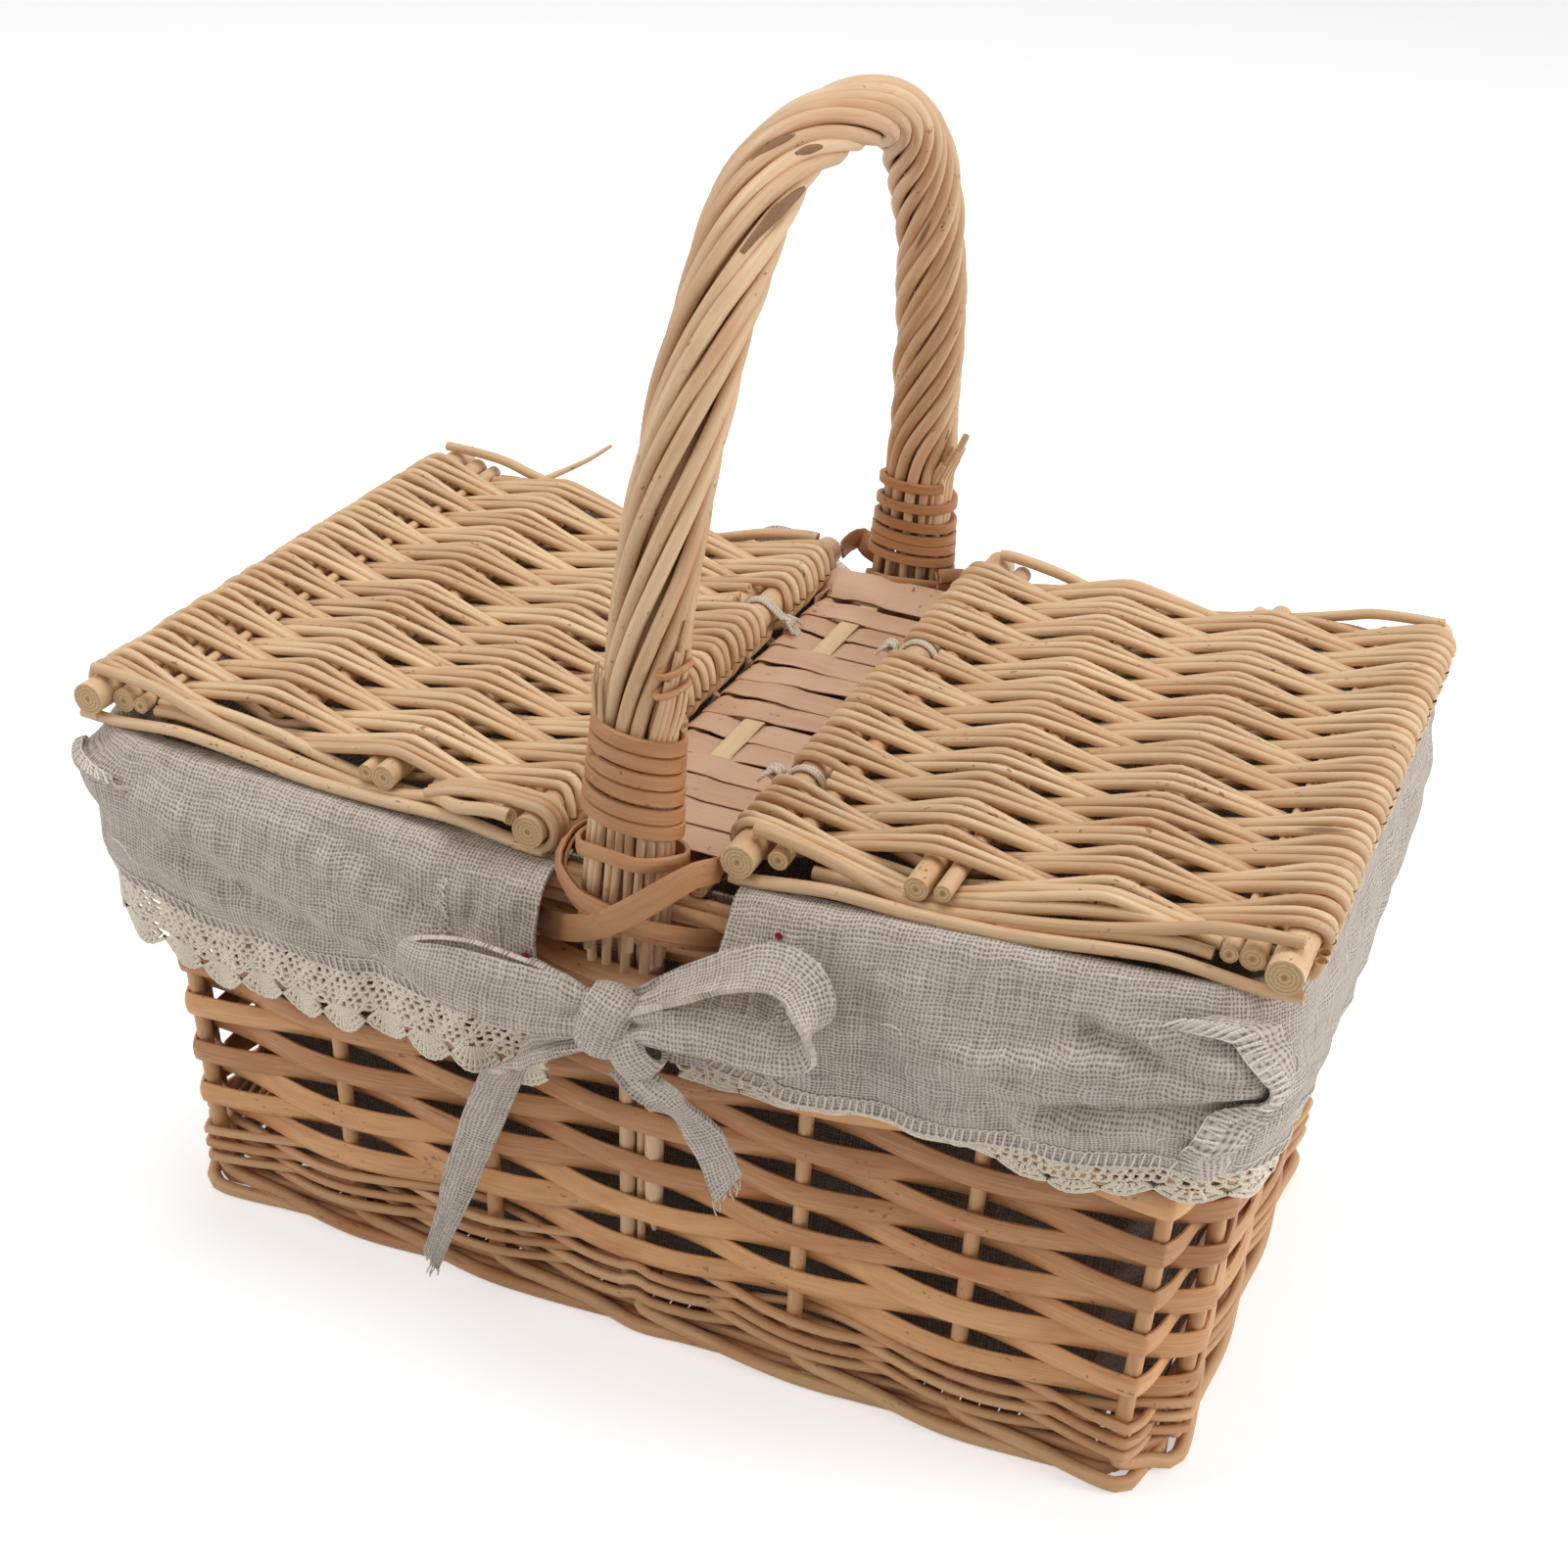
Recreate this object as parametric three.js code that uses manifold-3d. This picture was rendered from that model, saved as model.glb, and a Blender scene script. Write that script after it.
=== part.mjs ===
// Willow picnic basket with two lids, a twisted handle and a cloth liner.
// Millimetres, +Z up, +X along the length, the front faces -Y, origin under the middle of the base.
import * as THREE from "three";
import { mergeVertices } from "three/addons/utils/BufferGeometryUtils.js";
import Module from "manifold-3d";

const wasm = await Module();
wasm.setup();

// Clearances
const CLEAR = 0.3; // between pieces that touch
const SWING = 0.9; // round a piece that turns

// Body of the basket, measured at the outer face of the weave
const BASE_HALF_LENGTH = 190;
const BASE_HALF_DEPTH = 112;
const RIM_HALF_LENGTH = 198;
const RIM_HALF_DEPTH = 122;
const RIM_HEIGHT = 188;
const CHAMFER_X = 16; // corner cut along the length
const CHAMFER_Y = 23; // corner cut along the depth

// Foot, base and top border
const FOOT_HEIGHT = 9;
const FOOT_OVERHANG = 2;
const BASE_THICK = 8;
const BORDER_HEIGHT = 12;
const BORDER_OVERHANG = 3;

// Stakes and the rows woven on them
const STAKE_RADIUS = 2.75;
const STAKE_SIDES = 8;
const FRONT_BAYS = 6; // spaces between the stakes of a long wall
const SIDE_BAYS = 3; // spaces between the stakes of a short wall
const FOOT_ROD_HEIGHT = 4;
const STRIP_THICK = 2.2;
const ROW_GAP = 0.5;
const WALE_ROWS = 3;
const WALE_PITCH = 6.4;
const SIDING_ROWS = 15;

// Handle
const HANDLE_RADIUS = 12.5;
const HANDLE_SIDES = 12;
const HANDLE_STEPS = 32;
const HANDLE_RISE = 209; // centre line above the rim
const HANDLE_STAND_OUT = 0.5; // leg's centre line outside the rim
const HANDLE_SHIFT_Y = -3.5;
const HANDLE_LEAN = 20; // the arch leans to the back
const HANDLE_SQUARENESS = 0.74;
const HANDLE_CORE_HALF_WIDTH = 8; // rods pushed into the wall
const LEG_DROP = 13; // leg rods outside the border
const LASHING_WIDTH = 9;
const LASHING_THICK = 1.6;
const LASHING_HALF_SPAN = 24;
const LASHING_DIP = 16;
const BINDING_TURNS = 6;
const BINDING_PITCH = 6.6;
const BINDING_WIDTH = 4.6;
const BINDING_THICK = 1.5;
const BINDING_START = 17; // along the leg from the rim
const LOOP_STEPS = 24;

// Bridge between the lids
const BRIDGE_HALF_WIDTH = 24;
const BRIDGE_HALF_HEIGHT = 4.2;
const BRIDGE_HALF_LENGTH = 104;
const BRIDGE_ROD_RADIUS = 3.2;
const BRIDGE_ROD_HALF_LENGTH = 118;
const SLAT_WIDTH = 9;
const SLAT_THICK = 2;
const SLAT_HALF_LENGTH = 107;

// Lids
const HINGE_X = 35.3;
const LEFT_HINGE_RISE = 12; // hinge line above the rim
const RIGHT_HINGE_RISE = 21;
const LEFT_REST_TILT = 2;
const RIGHT_REST_TILT = 3.2;
const LID_SPAN = 164.7; // hinge stick to outer stick
const LID_HALF_THICK = 8.5;
const MAT_HALF_DEPTH = 113;
const LID_ROWS = 24;
const ROW_HALF_THICK = 2;
const ROW_OVERLAP = 0.1; // neighbouring rows press together
const ROW_TURN_GAP = 0.15; // angle left open at the side of the edge stick
const STICK_HALF_LENGTH = 126.5;
const EDGE_STICK_RADIUS = 5.5;
const INNER_STICK_RADIUS = 4;
const INNER_STICK_HALF_LENGTH = 122;
const EDGE_ROD_RADIUS = 2.3;
const EDGE_ROD_STEPS = 20;
const TIE_WIDTH = 6;
const TIE_THICK = 2;
const LEFT_TIE_Y = [-60, 56];
const RIGHT_TIE_Y = [-72, 32];

// Liner
const CLOTH_THICK = 1.6;
const SLIT_HALF_WIDTH = 31;
const CUFF_CORNER_RADIUS = 22;
const CUFF_BULGE = 16;
const CUFF_HEM_OUT = 9;
const CUFF_HEM_DROP = 54; // rim to hem
const CUFF_CORNER_LIFT = 13;
const CUFF_STATIONS = 50;
const FOLD_DEPTH = 3;
const FOLD_LENGTH = 52;
const LACE_THICK = 1.2;
const LACE_LEAN = 4; // lower edge towards the wall
const LEFT_LACE_DROP = 28;
const RIGHT_LACE_DROP = 13;
const RIBBON_WIDTH = 15;
const RIBBON_THICK = 1.8;
const RIBBON_STEPS = 3; // between two points of its path
const KNOT_HALF = [13, 8, 12];
const KNOT_DROP = 34; // rim to the knot
const KNOT_SHIFT_X = 5;
const STRAP_RISE = 8; // straps above the knot's middle
const LOOP_REACH = 76;
const LEFT_TAIL_DROP = 137;
const RIGHT_TAIL_DROP = 66;

// Depths inside the outer face of the weave
const STAKE_DEPTH = STRIP_THICK + CLEAR + STAKE_RADIUS;
const WEAVE_DEPTH = 2 * STAKE_DEPTH;
const RING_DEPTH = WEAVE_DEPTH + 0.5; // inner face of the foot and the border
const BAG_DEPTH = RING_DEPTH + CLEAR;

// Heights
const ROWS_FLOOR = FOOT_HEIGHT + CLEAR + FOOT_ROD_HEIGHT + CLEAR;
const SIDING_FLOOR = ROWS_FLOOR + WALE_ROWS * WALE_PITCH;
const BORDER_FLOOR = RIM_HEIGHT - BORDER_HEIGHT;
const SIDING_PITCH = (BORDER_FLOOR - SIDING_FLOOR) / SIDING_ROWS;
const BRIDGE_HEIGHT = RIM_HEIGHT + CLEAR + BRIDGE_ROD_RADIUS;
const BRIDGE_ROD_X = BRIDGE_HALF_WIDTH - BRIDGE_HALF_HEIGHT;
const HANDLE_HALF_SPAN = RIM_HALF_DEPTH + HANDLE_STAND_OUT;

const COLOUR = {
  willow: 0xd9a766,
  siding: 0xc98f55,
  skein: 0xcf9a6c,
  slat: 0xe2c287,
  linen: 0xb5aba0,
  lace: 0xe8dcc0,
  string: 0xe9e6df,
};

const group = new THREE.Group();
group.name = "picnic_basket";

function add(name, geometry, colour, place) {
  const mesh = new THREE.Mesh(
    geometry,
    new THREE.MeshStandardMaterial({ color: colour, roughness: 0.7 }),
  );
  mesh.name = name;
  if (place) {
    mesh.applyMatrix4(place);
  }
  group.add(mesh);
}

// A closed surface from points and triangles, turned to face out.
function closedGeometry(points, triangles) {
  let volume = 0;
  for (const [a, b, c] of triangles) {
    volume += points[a].dot(points[b].clone().cross(points[c]));
  }
  const index = triangles.flatMap(([a, b, c]) =>
    volume > 0 ? [a, b, c] : [a, c, b],
  );
  const geometry = new THREE.BufferGeometry().setFromPoints(points);
  geometry.setIndex(index);
  geometry.computeVertexNormals();
  return geometry;
}

// Joins like sections one after another; a ring joins the last to the first, others get end caps.
// The sections of a strip list one face forwards and the other face backwards.
function loft(sections, { ring = false, strip = false } = {}) {
  const count = sections[0].length;
  const points = sections.flat();
  const triangles = [];
  const last = ring ? sections.length : sections.length - 1;
  for (let i = 0; i < last; i++) {
    const here = i * count;
    const next = ((i + 1) % sections.length) * count;
    for (let k = 0; k < count; k++) {
      const m = (k + 1) % count;
      triangles.push([here + k, next + k, next + m]);
      triangles.push([here + k, next + m, here + m]);
    }
  }
  const cap = (start, flip) => {
    const put = (a, b, c) =>
      triangles.push(
        flip ? [start + a, start + c, start + b] : [start + a, start + b, start + c],
      );
    if (strip) {
      for (let k = 0; k < count / 2 - 1; k++) {
        put(k, k + 1, count - 2 - k);
        put(k, count - 2 - k, count - 1 - k);
      }
    } else {
      for (let k = 1; k < count - 1; k++) {
        put(0, k, k + 1);
      }
    }
  };
  if (!ring) {
    cap(0, false);
    cap((sections.length - 1) * count, true);
  }
  return closedGeometry(points, triangles);
}

function toSolid(geometry) {
  const bare = geometry.clone();
  bare.deleteAttribute("normal");
  bare.deleteAttribute("uv");
  const merged = mergeVertices(bare, 1e-3);
  return new wasm.Manifold(
    new wasm.Mesh({
      numProp: 3,
      vertProperties: new Float32Array(merged.attributes.position.array),
      triVerts: new Uint32Array(merged.index.array),
    }),
  );
}

function toGeometry(solid) {
  const mesh = solid.getMesh();
  const geometry = new THREE.BufferGeometry();
  geometry.setAttribute("position", new THREE.BufferAttribute(mesh.vertProperties, 3));
  geometry.setIndex(new THREE.BufferAttribute(mesh.triVerts, 1));
  geometry.computeVertexNormals();
  return geometry;
}

const joined = (geometries) => geometries.map(toSolid).reduce((a, b) => a.add(b));

function block(x0, x1, y0, y1, z0, z1) {
  const box = new THREE.BoxGeometry(x1 - x0, y1 - y0, z1 - z0);
  return box.translate((x0 + x1) / 2, (y0 + y1) / 2, (z0 + z1) / 2);
}

// The eight corners of the body at a height, anticlockwise, moved in by a depth.
function outline(z, depth) {
  const share = z / RIM_HEIGHT;
  const a = BASE_HALF_LENGTH + (RIM_HALF_LENGTH - BASE_HALF_LENGTH) * share;
  const b = BASE_HALF_DEPTH + (RIM_HALF_DEPTH - BASE_HALF_DEPTH) * share;
  const quarter = [
    [a - CHAMFER_X, -b],
    [a, -b + CHAMFER_Y],
  ];
  const half = [...quarter, ...quarter.map(([x, y]) => [x, -y]).reverse()];
  const corners = [...half, ...half.map(([x, y]) => [-x, -y])].map(
    ([x, y]) => new THREE.Vector2(x, y),
  );
  return offset(corners, -depth);
}

// A closed anticlockwise line moved out, with mitred corners.
function offset(line, distance) {
  return line.map((p, i) => {
    const before = p.clone().sub(line.at(i - 1)).normalize();
    const after = line[(i + 1) % line.length].clone().sub(p).normalize();
    const out = new THREE.Vector2(before.y + after.y, -before.x - after.x).normalize();
    const reach = distance / (out.x * before.y - out.y * before.x);
    return p.clone().addScaledVector(out, reach);
  });
}

const at = (p, z) => new THREE.Vector3(p.x, p.y, z);

// A band that goes round the body between two heights.
function bandRing(z0, z1, outer, inner) {
  const low = [outline(z0, outer), outline(z0, inner)];
  const high = [outline(z1, outer), outline(z1, inner)];
  const sections = low[0].map((_, i) => [
    at(low[0][i], z0),
    at(high[0][i], z1),
    at(high[1][i], z1),
    at(low[1][i], z0),
  ]);
  return loft(sections, { ring: true });
}

// A solid that fills the body between two heights.
function bodyFill(z0, z1, depth) {
  return loft([z0, z1].map((z) => outline(z, depth).map((p) => at(p, z))));
}

// Stake centres of each wall at a height, anticlockwise from the front.
function wallStakes(z) {
  const line = outline(z, STAKE_DEPTH);
  const along = (from, to, bays) =>
    Array.from({ length: bays + 1 }, (_, i) => from.clone().lerp(to, i / bays));
  return {
    front: along(line[7], line[0], FRONT_BAYS),
    right: along(line[1], line[2], SIDE_BAYS),
    back: along(line[3], line[4], FRONT_BAYS),
    left: along(line[5], line[6], SIDE_BAYS),
  };
}

const CORE_REACH = HANDLE_CORE_HALF_WIDTH - STAKE_RADIUS;

// What a row passes at a height: each stake, and both edges of the handle's core rods.
function obstacles(z, row) {
  const walls = wallStakes(z);
  const middle = FRONT_BAYS / 2;
  const passed = [];
  let side = row % 2 ? 1 : -1;
  for (const [name, stakes] of Object.entries(walls)) {
    stakes.forEach((p, i) => {
      const core = (name === "front" || name === "back") && i === middle;
      const step = name === "front" ? CORE_REACH : -CORE_REACH;
      const centres = core ? [p.x - step, p.x + step] : [p.x];
      centres.forEach((x) => passed.push({ centre: new THREE.Vector2(x, p.y), side }));
      side = -side;
    });
  }
  return passed;
}

// The line of a row at a height: straight from stake to stake, bent round each.
function rowLine(z, row, bends) {
  const radius = STAKE_RADIUS + CLEAR + STRIP_THICK / 2;
  const passed = obstacles(z, row);
  const headings = passed.map((from, i) => {
    const to = passed[(i + 1) % passed.length];
    const span = to.centre.clone().sub(from.centre);
    const shift = Math.asin(((to.side - from.side) * radius) / span.length());
    return Math.atan2(span.y, span.x) - shift;
  });
  return passed.flatMap(({ centre, side }, i) => {
    const start = headings.at(i - 1);
    const full = headings[i] - start;
    const turn = Math.atan2(Math.sin(full), Math.cos(full));
    const reach = (side * radius) / Math.cos(turn / (2 * bends[i]));
    return Array.from({ length: bends[i] }, (_, k) => {
      const heading = start + (turn * (k + 0.5)) / bends[i];
      return new THREE.Vector2(
        centre.x + reach * Math.sin(heading),
        centre.y - reach * Math.cos(heading),
      );
    });
  });
}

// Two bends where a strip goes round the outside of a corner stake, one elsewhere.
function rowBends(row) {
  const passed = obstacles(RIM_HEIGHT / 2, row);
  return passed.map(({ centre, side }, i) => {
    const before = centre.clone().sub(passed.at(i - 1).centre);
    const after = passed[(i + 1) % passed.length].centre.clone().sub(centre);
    const corner = Math.abs(before.angle() - after.angle()) % Math.PI > 0.2;
    return corner && side > 0 ? 2 : 1;
  });
}

function rowBand(z0, z1, row) {
  const bends = rowBends(row);
  const faces = [z0, z1].map((z) => {
    const line = rowLine(z, row, bends);
    return [STRIP_THICK / 2, -STRIP_THICK / 2].map((d) => offset(line, d));
  });
  const sections = faces[0][0].map((_, i) => [
    at(faces[0][0][i], z0),
    at(faces[1][0][i], z1),
    at(faces[1][1][i], z1),
    at(faces[0][1][i], z0),
  ]);
  return loft(sections, { ring: true });
}

function circle(centre, radius, sides, toPoint) {
  return Array.from({ length: sides }, (_, k) => {
    const angle = (2 * Math.PI * (k + 0.5)) / sides;
    return toPoint(centre.x + radius * Math.cos(angle), centre.y + radius * Math.sin(angle));
  });
}

// The stakes of one wall, joined at the foot by the rod that they turn into.
function stakeComb(name) {
  const z0 = FOOT_HEIGHT + CLEAR;
  const z1 = BORDER_FLOOR - CLEAR;
  const low = wallStakes(z0)[name];
  const high = wallStakes(z1)[name];
  const middle = name === "front" || name === "back" ? FRONT_BAYS / 2 : -1;
  const stakes = low.flatMap((p, i) => {
    if (i === middle) {
      return [];
    }
    const ring = (q, z) => circle(q, STAKE_RADIUS, STAKE_SIDES, (x, y) => new THREE.Vector3(x, y, z));
    return [loft([ring(p, z0), ring(high[i], z1)])];
  });
  const [first, last] = [low[0], low.at(-1)];
  const half = new THREE.Vector2(first.y - last.y, last.x - first.x).setLength(STAKE_RADIUS - 0.2);
  const bar = loft(
    [z0, z0 + FOOT_ROD_HEIGHT].map((z) =>
      [
        first.clone().add(half),
        last.clone().add(half),
        last.clone().sub(half),
        first.clone().sub(half),
      ].map((p) => at(p, z)),
    ),
  );
  return toGeometry(joined([...stakes, bar]));
}

// The body
const bagFloor = BASE_THICK + CLEAR;
const bagTop = RIM_HEIGHT - CLEAR;
const bag = toSolid(bodyFill(bagFloor, bagTop, BAG_DEPTH)).subtract(
  toSolid(bodyFill(bagFloor + CLOTH_THICK, bagTop + 1, BAG_DEPTH + CLOTH_THICK)),
);
add("base_panel", bodyFill(0, BASE_THICK, RING_DEPTH + CLEAR), COLOUR.siding);
add("foot_border", bandRing(0, FOOT_HEIGHT, -FOOT_OVERHANG, RING_DEPTH), COLOUR.willow);
for (const wall of ["front", "right", "back", "left"]) {
  add(`${wall}_stakes`, stakeComb(wall), COLOUR.willow);
}
for (let i = 0; i < WALE_ROWS; i++) {
  const z = ROWS_FLOOR + i * WALE_PITCH;
  add(`bottom_wale_${i + 1}`, rowBand(z, z + WALE_PITCH - ROW_GAP, i), COLOUR.willow);
}
for (let i = 0; i < SIDING_ROWS; i++) {
  const z = SIDING_FLOOR + i * SIDING_PITCH;
  const label = String(i + 1).padStart(2, "0");
  add(`siding_row_${label}`, rowBand(z, z + SIDING_PITCH - ROW_GAP, i + WALE_ROWS), COLOUR.siding);
}
add("liner_bag", toGeometry(bag), COLOUR.linen);

// The handle's centre line, a squared arch in the plane x = 0
function archPoint(angle) {
  const across = Math.cos(angle);
  const rise = Math.sin(angle) ** HANDLE_SQUARENESS;
  const out = Math.sign(across) * Math.abs(across) ** HANDLE_SQUARENESS;
  const y = HANDLE_SHIFT_Y - HANDLE_HALF_SPAN * out + HANDLE_LEAN * rise;
  return new THREE.Vector3(0, y, RIM_HEIGHT + HANDLE_RISE * rise);
}
const archLine = new THREE.CatmullRomCurve3(
  Array.from({ length: 25 }, (_, i) => archPoint(Math.max(0, Math.sin((Math.PI * i) / 48)) ** 2 * Math.PI)),
);
const archLength = archLine.getLength();
const ACROSS = new THREE.Vector3(1, 0, 0);

// Position, direction and outward side of the handle's line at a distance from the front rim.
function archFrame(distance) {
  const share = distance / archLength;
  const centre = archLine.getPointAt(share);
  const along = archLine.getTangentAt(share);
  return { centre, along, out: along.clone().cross(ACROSS) };
}

function ringAround({ centre, out }, radius, sides) {
  return circle(new THREE.Vector2(0, 0), radius, sides, (a, b) =>
    centre.clone().addScaledVector(ACROSS, a).addScaledVector(out, b),
  );
}

// A leg's rods run on down outside the border, and its core goes down into the wall.
function handleSolid() {
  const frames = Array.from({ length: HANDLE_STEPS + 1 }, (_, i) =>
    archFrame((archLength * i) / HANDLE_STEPS),
  );
  const rings = frames.map((f) => ringAround(f, HANDLE_RADIUS, HANDLE_SIDES));
  const drop = (f) => {
    const low = {
      centre: f.centre.clone().setZ(RIM_HEIGHT - LEG_DROP),
      out: f.out.clone().setZ(0).normalize(),
    };
    return ringAround(low, HANDLE_RADIUS, HANDLE_SIDES);
  };
  const tube = loft([drop(frames[0]), ...rings, drop(frames.at(-1))]);
  const wall = bodyFill(RIM_HEIGHT - 2 * LEG_DROP, RIM_HEIGHT + CLEAR, -BORDER_OVERHANG - CLEAR);
  const cores = ["front", "back"].map((name) => coreRods(name, 0));
  return cores.map(toSolid).reduce((a, b) => a.add(b), toSolid(tube).subtract(toSolid(wall)));
}

// The flat group of rods under a leg, grown by a margin.
function coreRods(name, margin) {
  const z0 = ROWS_FLOOR - margin;
  const z1 = RIM_HEIGHT + HANDLE_RADIUS;
  const radius = STAKE_RADIUS + margin;
  const section = (z) => {
    const p = wallStakes(z)[name][FRONT_BAYS / 2];
    return [-1, 1].flatMap((end) =>
      Array.from({ length: 4 }, (_, k) => {
        const angle = (Math.PI * (k + 0.5)) / 4 - (end * Math.PI) / 2;
        return new THREE.Vector3(
          end * CORE_REACH + radius * Math.cos(angle),
          p.y + radius * Math.sin(angle),
          z,
        );
      }),
    );
  };
  return loft([section(z0), section(z1)]);
}

const border = ["front", "back"].reduce(
  (solid, name) => solid.subtract(toSolid(coreRods(name, CLEAR))),
  toSolid(bandRing(BORDER_FLOOR, RIM_HEIGHT, -BORDER_OVERHANG, RING_DEPTH)),
);
add("top_border", toGeometry(border), COLOUR.willow);
add("handle", toGeometry(handleSolid()), COLOUR.willow);

// Flat skein wound round a leg as one strip, with straight cut ends.
function bindingLine(back) {
  const steps = BINDING_TURNS * LOOP_STEPS;
  const reach = HANDLE_RADIUS + CLEAR + BINDING_THICK / 2;
  const stations = Array.from({ length: steps + 1 }, (_, i) => {
    const turn = i / LOOP_STEPS;
    const distance = BINDING_START + turn * BINDING_PITCH;
    const frame = archFrame(back ? archLength - distance : distance);
    const angle = 2 * Math.PI * turn;
    const radial = ACROSS.clone().multiplyScalar(Math.cos(angle)).addScaledVector(frame.out, Math.sin(angle));
    return { point: frame.centre.clone().addScaledVector(radial, reach), radial, along: frame.along };
  });
  const runOut = (end, beside) => ({
    ...end,
    point: end.point.clone().add(end.point.clone().sub(beside.point).setLength(BINDING_WIDTH)),
  });
  return [runOut(stations[0], stations[1]), ...stations, runOut(stations.at(-1), stations.at(-2))];
}

function bindingGeometry(line) {
  const edge = BINDING_WIDTH / 2;
  const face = BINDING_THICK / 2;
  const corners = [
    [edge, 0],
    [edge * 0.7, face],
    [-edge * 0.7, face],
    [-edge, 0],
    [-edge * 0.7, -face],
    [edge * 0.7, -face],
  ];
  return loft(
    line.map(({ point, radial, along }) =>
      corners.map(([a, r]) => point.clone().addScaledVector(along, a).addScaledVector(radial, r)),
    ),
  );
}

// Least clear distance between neighbouring turns.
function leastGap(line) {
  let least = Infinity;
  for (let i = 0; i < line.length; i++) {
    for (let j = i + LOOP_STEPS / 2; j < line.length; j++) {
      least = Math.min(least, line[i].point.distanceTo(line[j].point));
    }
  }
  return least - BINDING_WIDTH;
}

for (const [name, back] of [["front", false], ["back", true]]) {
  const line = bindingLine(back);
  console.log(`${name}_leg_binding: least gap between turns ${leastGap(line).toFixed(2)} mm`);
  add(`${name}_leg_binding`, bindingGeometry(line), COLOUR.skein);
}

// Wide skein round the outside of a leg's foot, from the bridge's one side to the other.
function lashing(back) {
  const foot = archFrame(back ? archLength : 0).centre;
  const outward = back ? 1 : -1;
  const face = RIM_HALF_DEPTH + BORDER_OVERHANG + CLEAR + LASHING_THICK;
  const reach = Math.abs(foot.y) + HANDLE_RADIUS + CLEAR + LASHING_THICK / 2 - face;
  const steps = 14;
  const sections = Array.from({ length: steps + 1 }, (_, i) => {
    const angle = ((i / steps) * 2 - 1) * 1.75;
    const place = (r) =>
      new THREE.Vector3(
        (LASHING_HALF_SPAN + r) * Math.sin(angle),
        outward * (face + (reach + r) * Math.cos(angle)),
        RIM_HEIGHT + LASHING_WIDTH - LASHING_DIP * Math.cos(angle),
      );
    const [near, far] = [place(-LASHING_THICK / 2), place(LASHING_THICK / 2)];
    const up = new THREE.Vector3(0, 0, LASHING_WIDTH / 2);
    return [near.clone().sub(up), near.clone().add(up), far.clone().add(up), far.clone().sub(up)];
  });
  return loft(sections);
}
add("front_leg_lashing", lashing(false), COLOUR.skein);
add("back_leg_lashing", lashing(true), COLOUR.skein);

// Outline with round ends, from x0 to x1, and holes along it, drawn out along Y.
function drawnAlongY(shape, halfLength) {
  const geometry = new THREE.ExtrudeGeometry(shape, {
    depth: 2 * halfLength,
    bevelEnabled: false,
    curveSegments: 5,
  });
  return geometry.rotateX(Math.PI / 2).translate(0, halfLength, 0);
}

function roundEnded(x0, x1, half) {
  const shape = new THREE.Shape();
  shape.absarc(x1 - half, 0, half, -Math.PI / 2, Math.PI / 2, false);
  shape.absarc(x0 + half, 0, half, Math.PI / 2, (3 * Math.PI) / 2, false);
  return shape;
}

function roundHole(x, radius) {
  const hole = new THREE.Path();
  hole.absarc(x, 0, radius, 0, 2 * Math.PI, true);
  return hole;
}

function roundStick(x, z, radius, halfLength, sides) {
  const ring = (y) => circle(new THREE.Vector2(x, z), radius, sides, (a, b) => new THREE.Vector3(a, y, b));
  return loft([ring(-halfLength), ring(halfLength)]);
}

// A closed strip round two rods, like a belt on two wheels, in the plane across them.
function hingeTie(stick, rod, y) {
  const wheels = [
    { centre: stick, radius: EDGE_STICK_RADIUS + CLEAR },
    { centre: rod, radius: BRIDGE_ROD_RADIUS + CLEAR },
  ];
  const span = rod.clone().sub(stick);
  const heading = Math.atan2(span.y, span.x);
  const spread = Math.acos((wheels[0].radius - wheels[1].radius) / span.length());
  const arc = (wheel, from, to) =>
    Array.from({ length: 6 }, (_, k) => {
      const angle = from + ((to - from) * k) / 5;
      const reach = wheel.radius / Math.cos((to - from) / 10);
      return [reach, reach + TIE_THICK].map(
        (r) => new THREE.Vector2(wheel.centre.x + r * Math.cos(angle), wheel.centre.y + r * Math.sin(angle)),
      );
    });
  const line = [
    ...arc(wheels[0], heading + spread, heading - spread + 2 * Math.PI),
    ...arc(wheels[1], heading - spread, heading + spread),
  ];
  const sections = line.map(([near, far]) =>
    [
      [near, -1],
      [far, -1],
      [far, 1],
      [near, 1],
    ].map(([p, s]) => new THREE.Vector3(p.x, y + (s * TIE_WIDTH) / 2, p.y)),
  );
  return loft(sections, { ring: true });
}

const LIDS = [
  { name: "left", side: -1, rise: LEFT_HINGE_RISE, tilt: LEFT_REST_TILT, ties: LEFT_TIE_Y },
  { name: "right", side: 1, rise: RIGHT_HINGE_RISE, tilt: RIGHT_REST_TILT, ties: RIGHT_TIE_Y },
];
const tieNotch = TIE_WIDTH / 2 + SWING;

// Bridge: woven skeins round two edge rods and a middle slat, cut away at the ties
const bridgeShape = roundEnded(-BRIDGE_HALF_WIDTH, BRIDGE_HALF_WIDTH, BRIDGE_HALF_HEIGHT);
const slatHole = new THREE.Path([
  new THREE.Vector2(-SLAT_WIDTH / 2 - CLEAR, -SLAT_THICK / 2 - CLEAR),
  new THREE.Vector2(-SLAT_WIDTH / 2 - CLEAR, SLAT_THICK / 2 + CLEAR),
  new THREE.Vector2(SLAT_WIDTH / 2 + CLEAR, SLAT_THICK / 2 + CLEAR),
  new THREE.Vector2(SLAT_WIDTH / 2 + CLEAR, -SLAT_THICK / 2 - CLEAR),
]);
bridgeShape.holes.push(slatHole);
for (const { side } of LIDS) {
  bridgeShape.holes.push(roundHole(side * BRIDGE_ROD_X, BRIDGE_ROD_RADIUS + CLEAR));
}
let bridge = toSolid(drawnAlongY(bridgeShape, BRIDGE_HALF_LENGTH));
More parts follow.
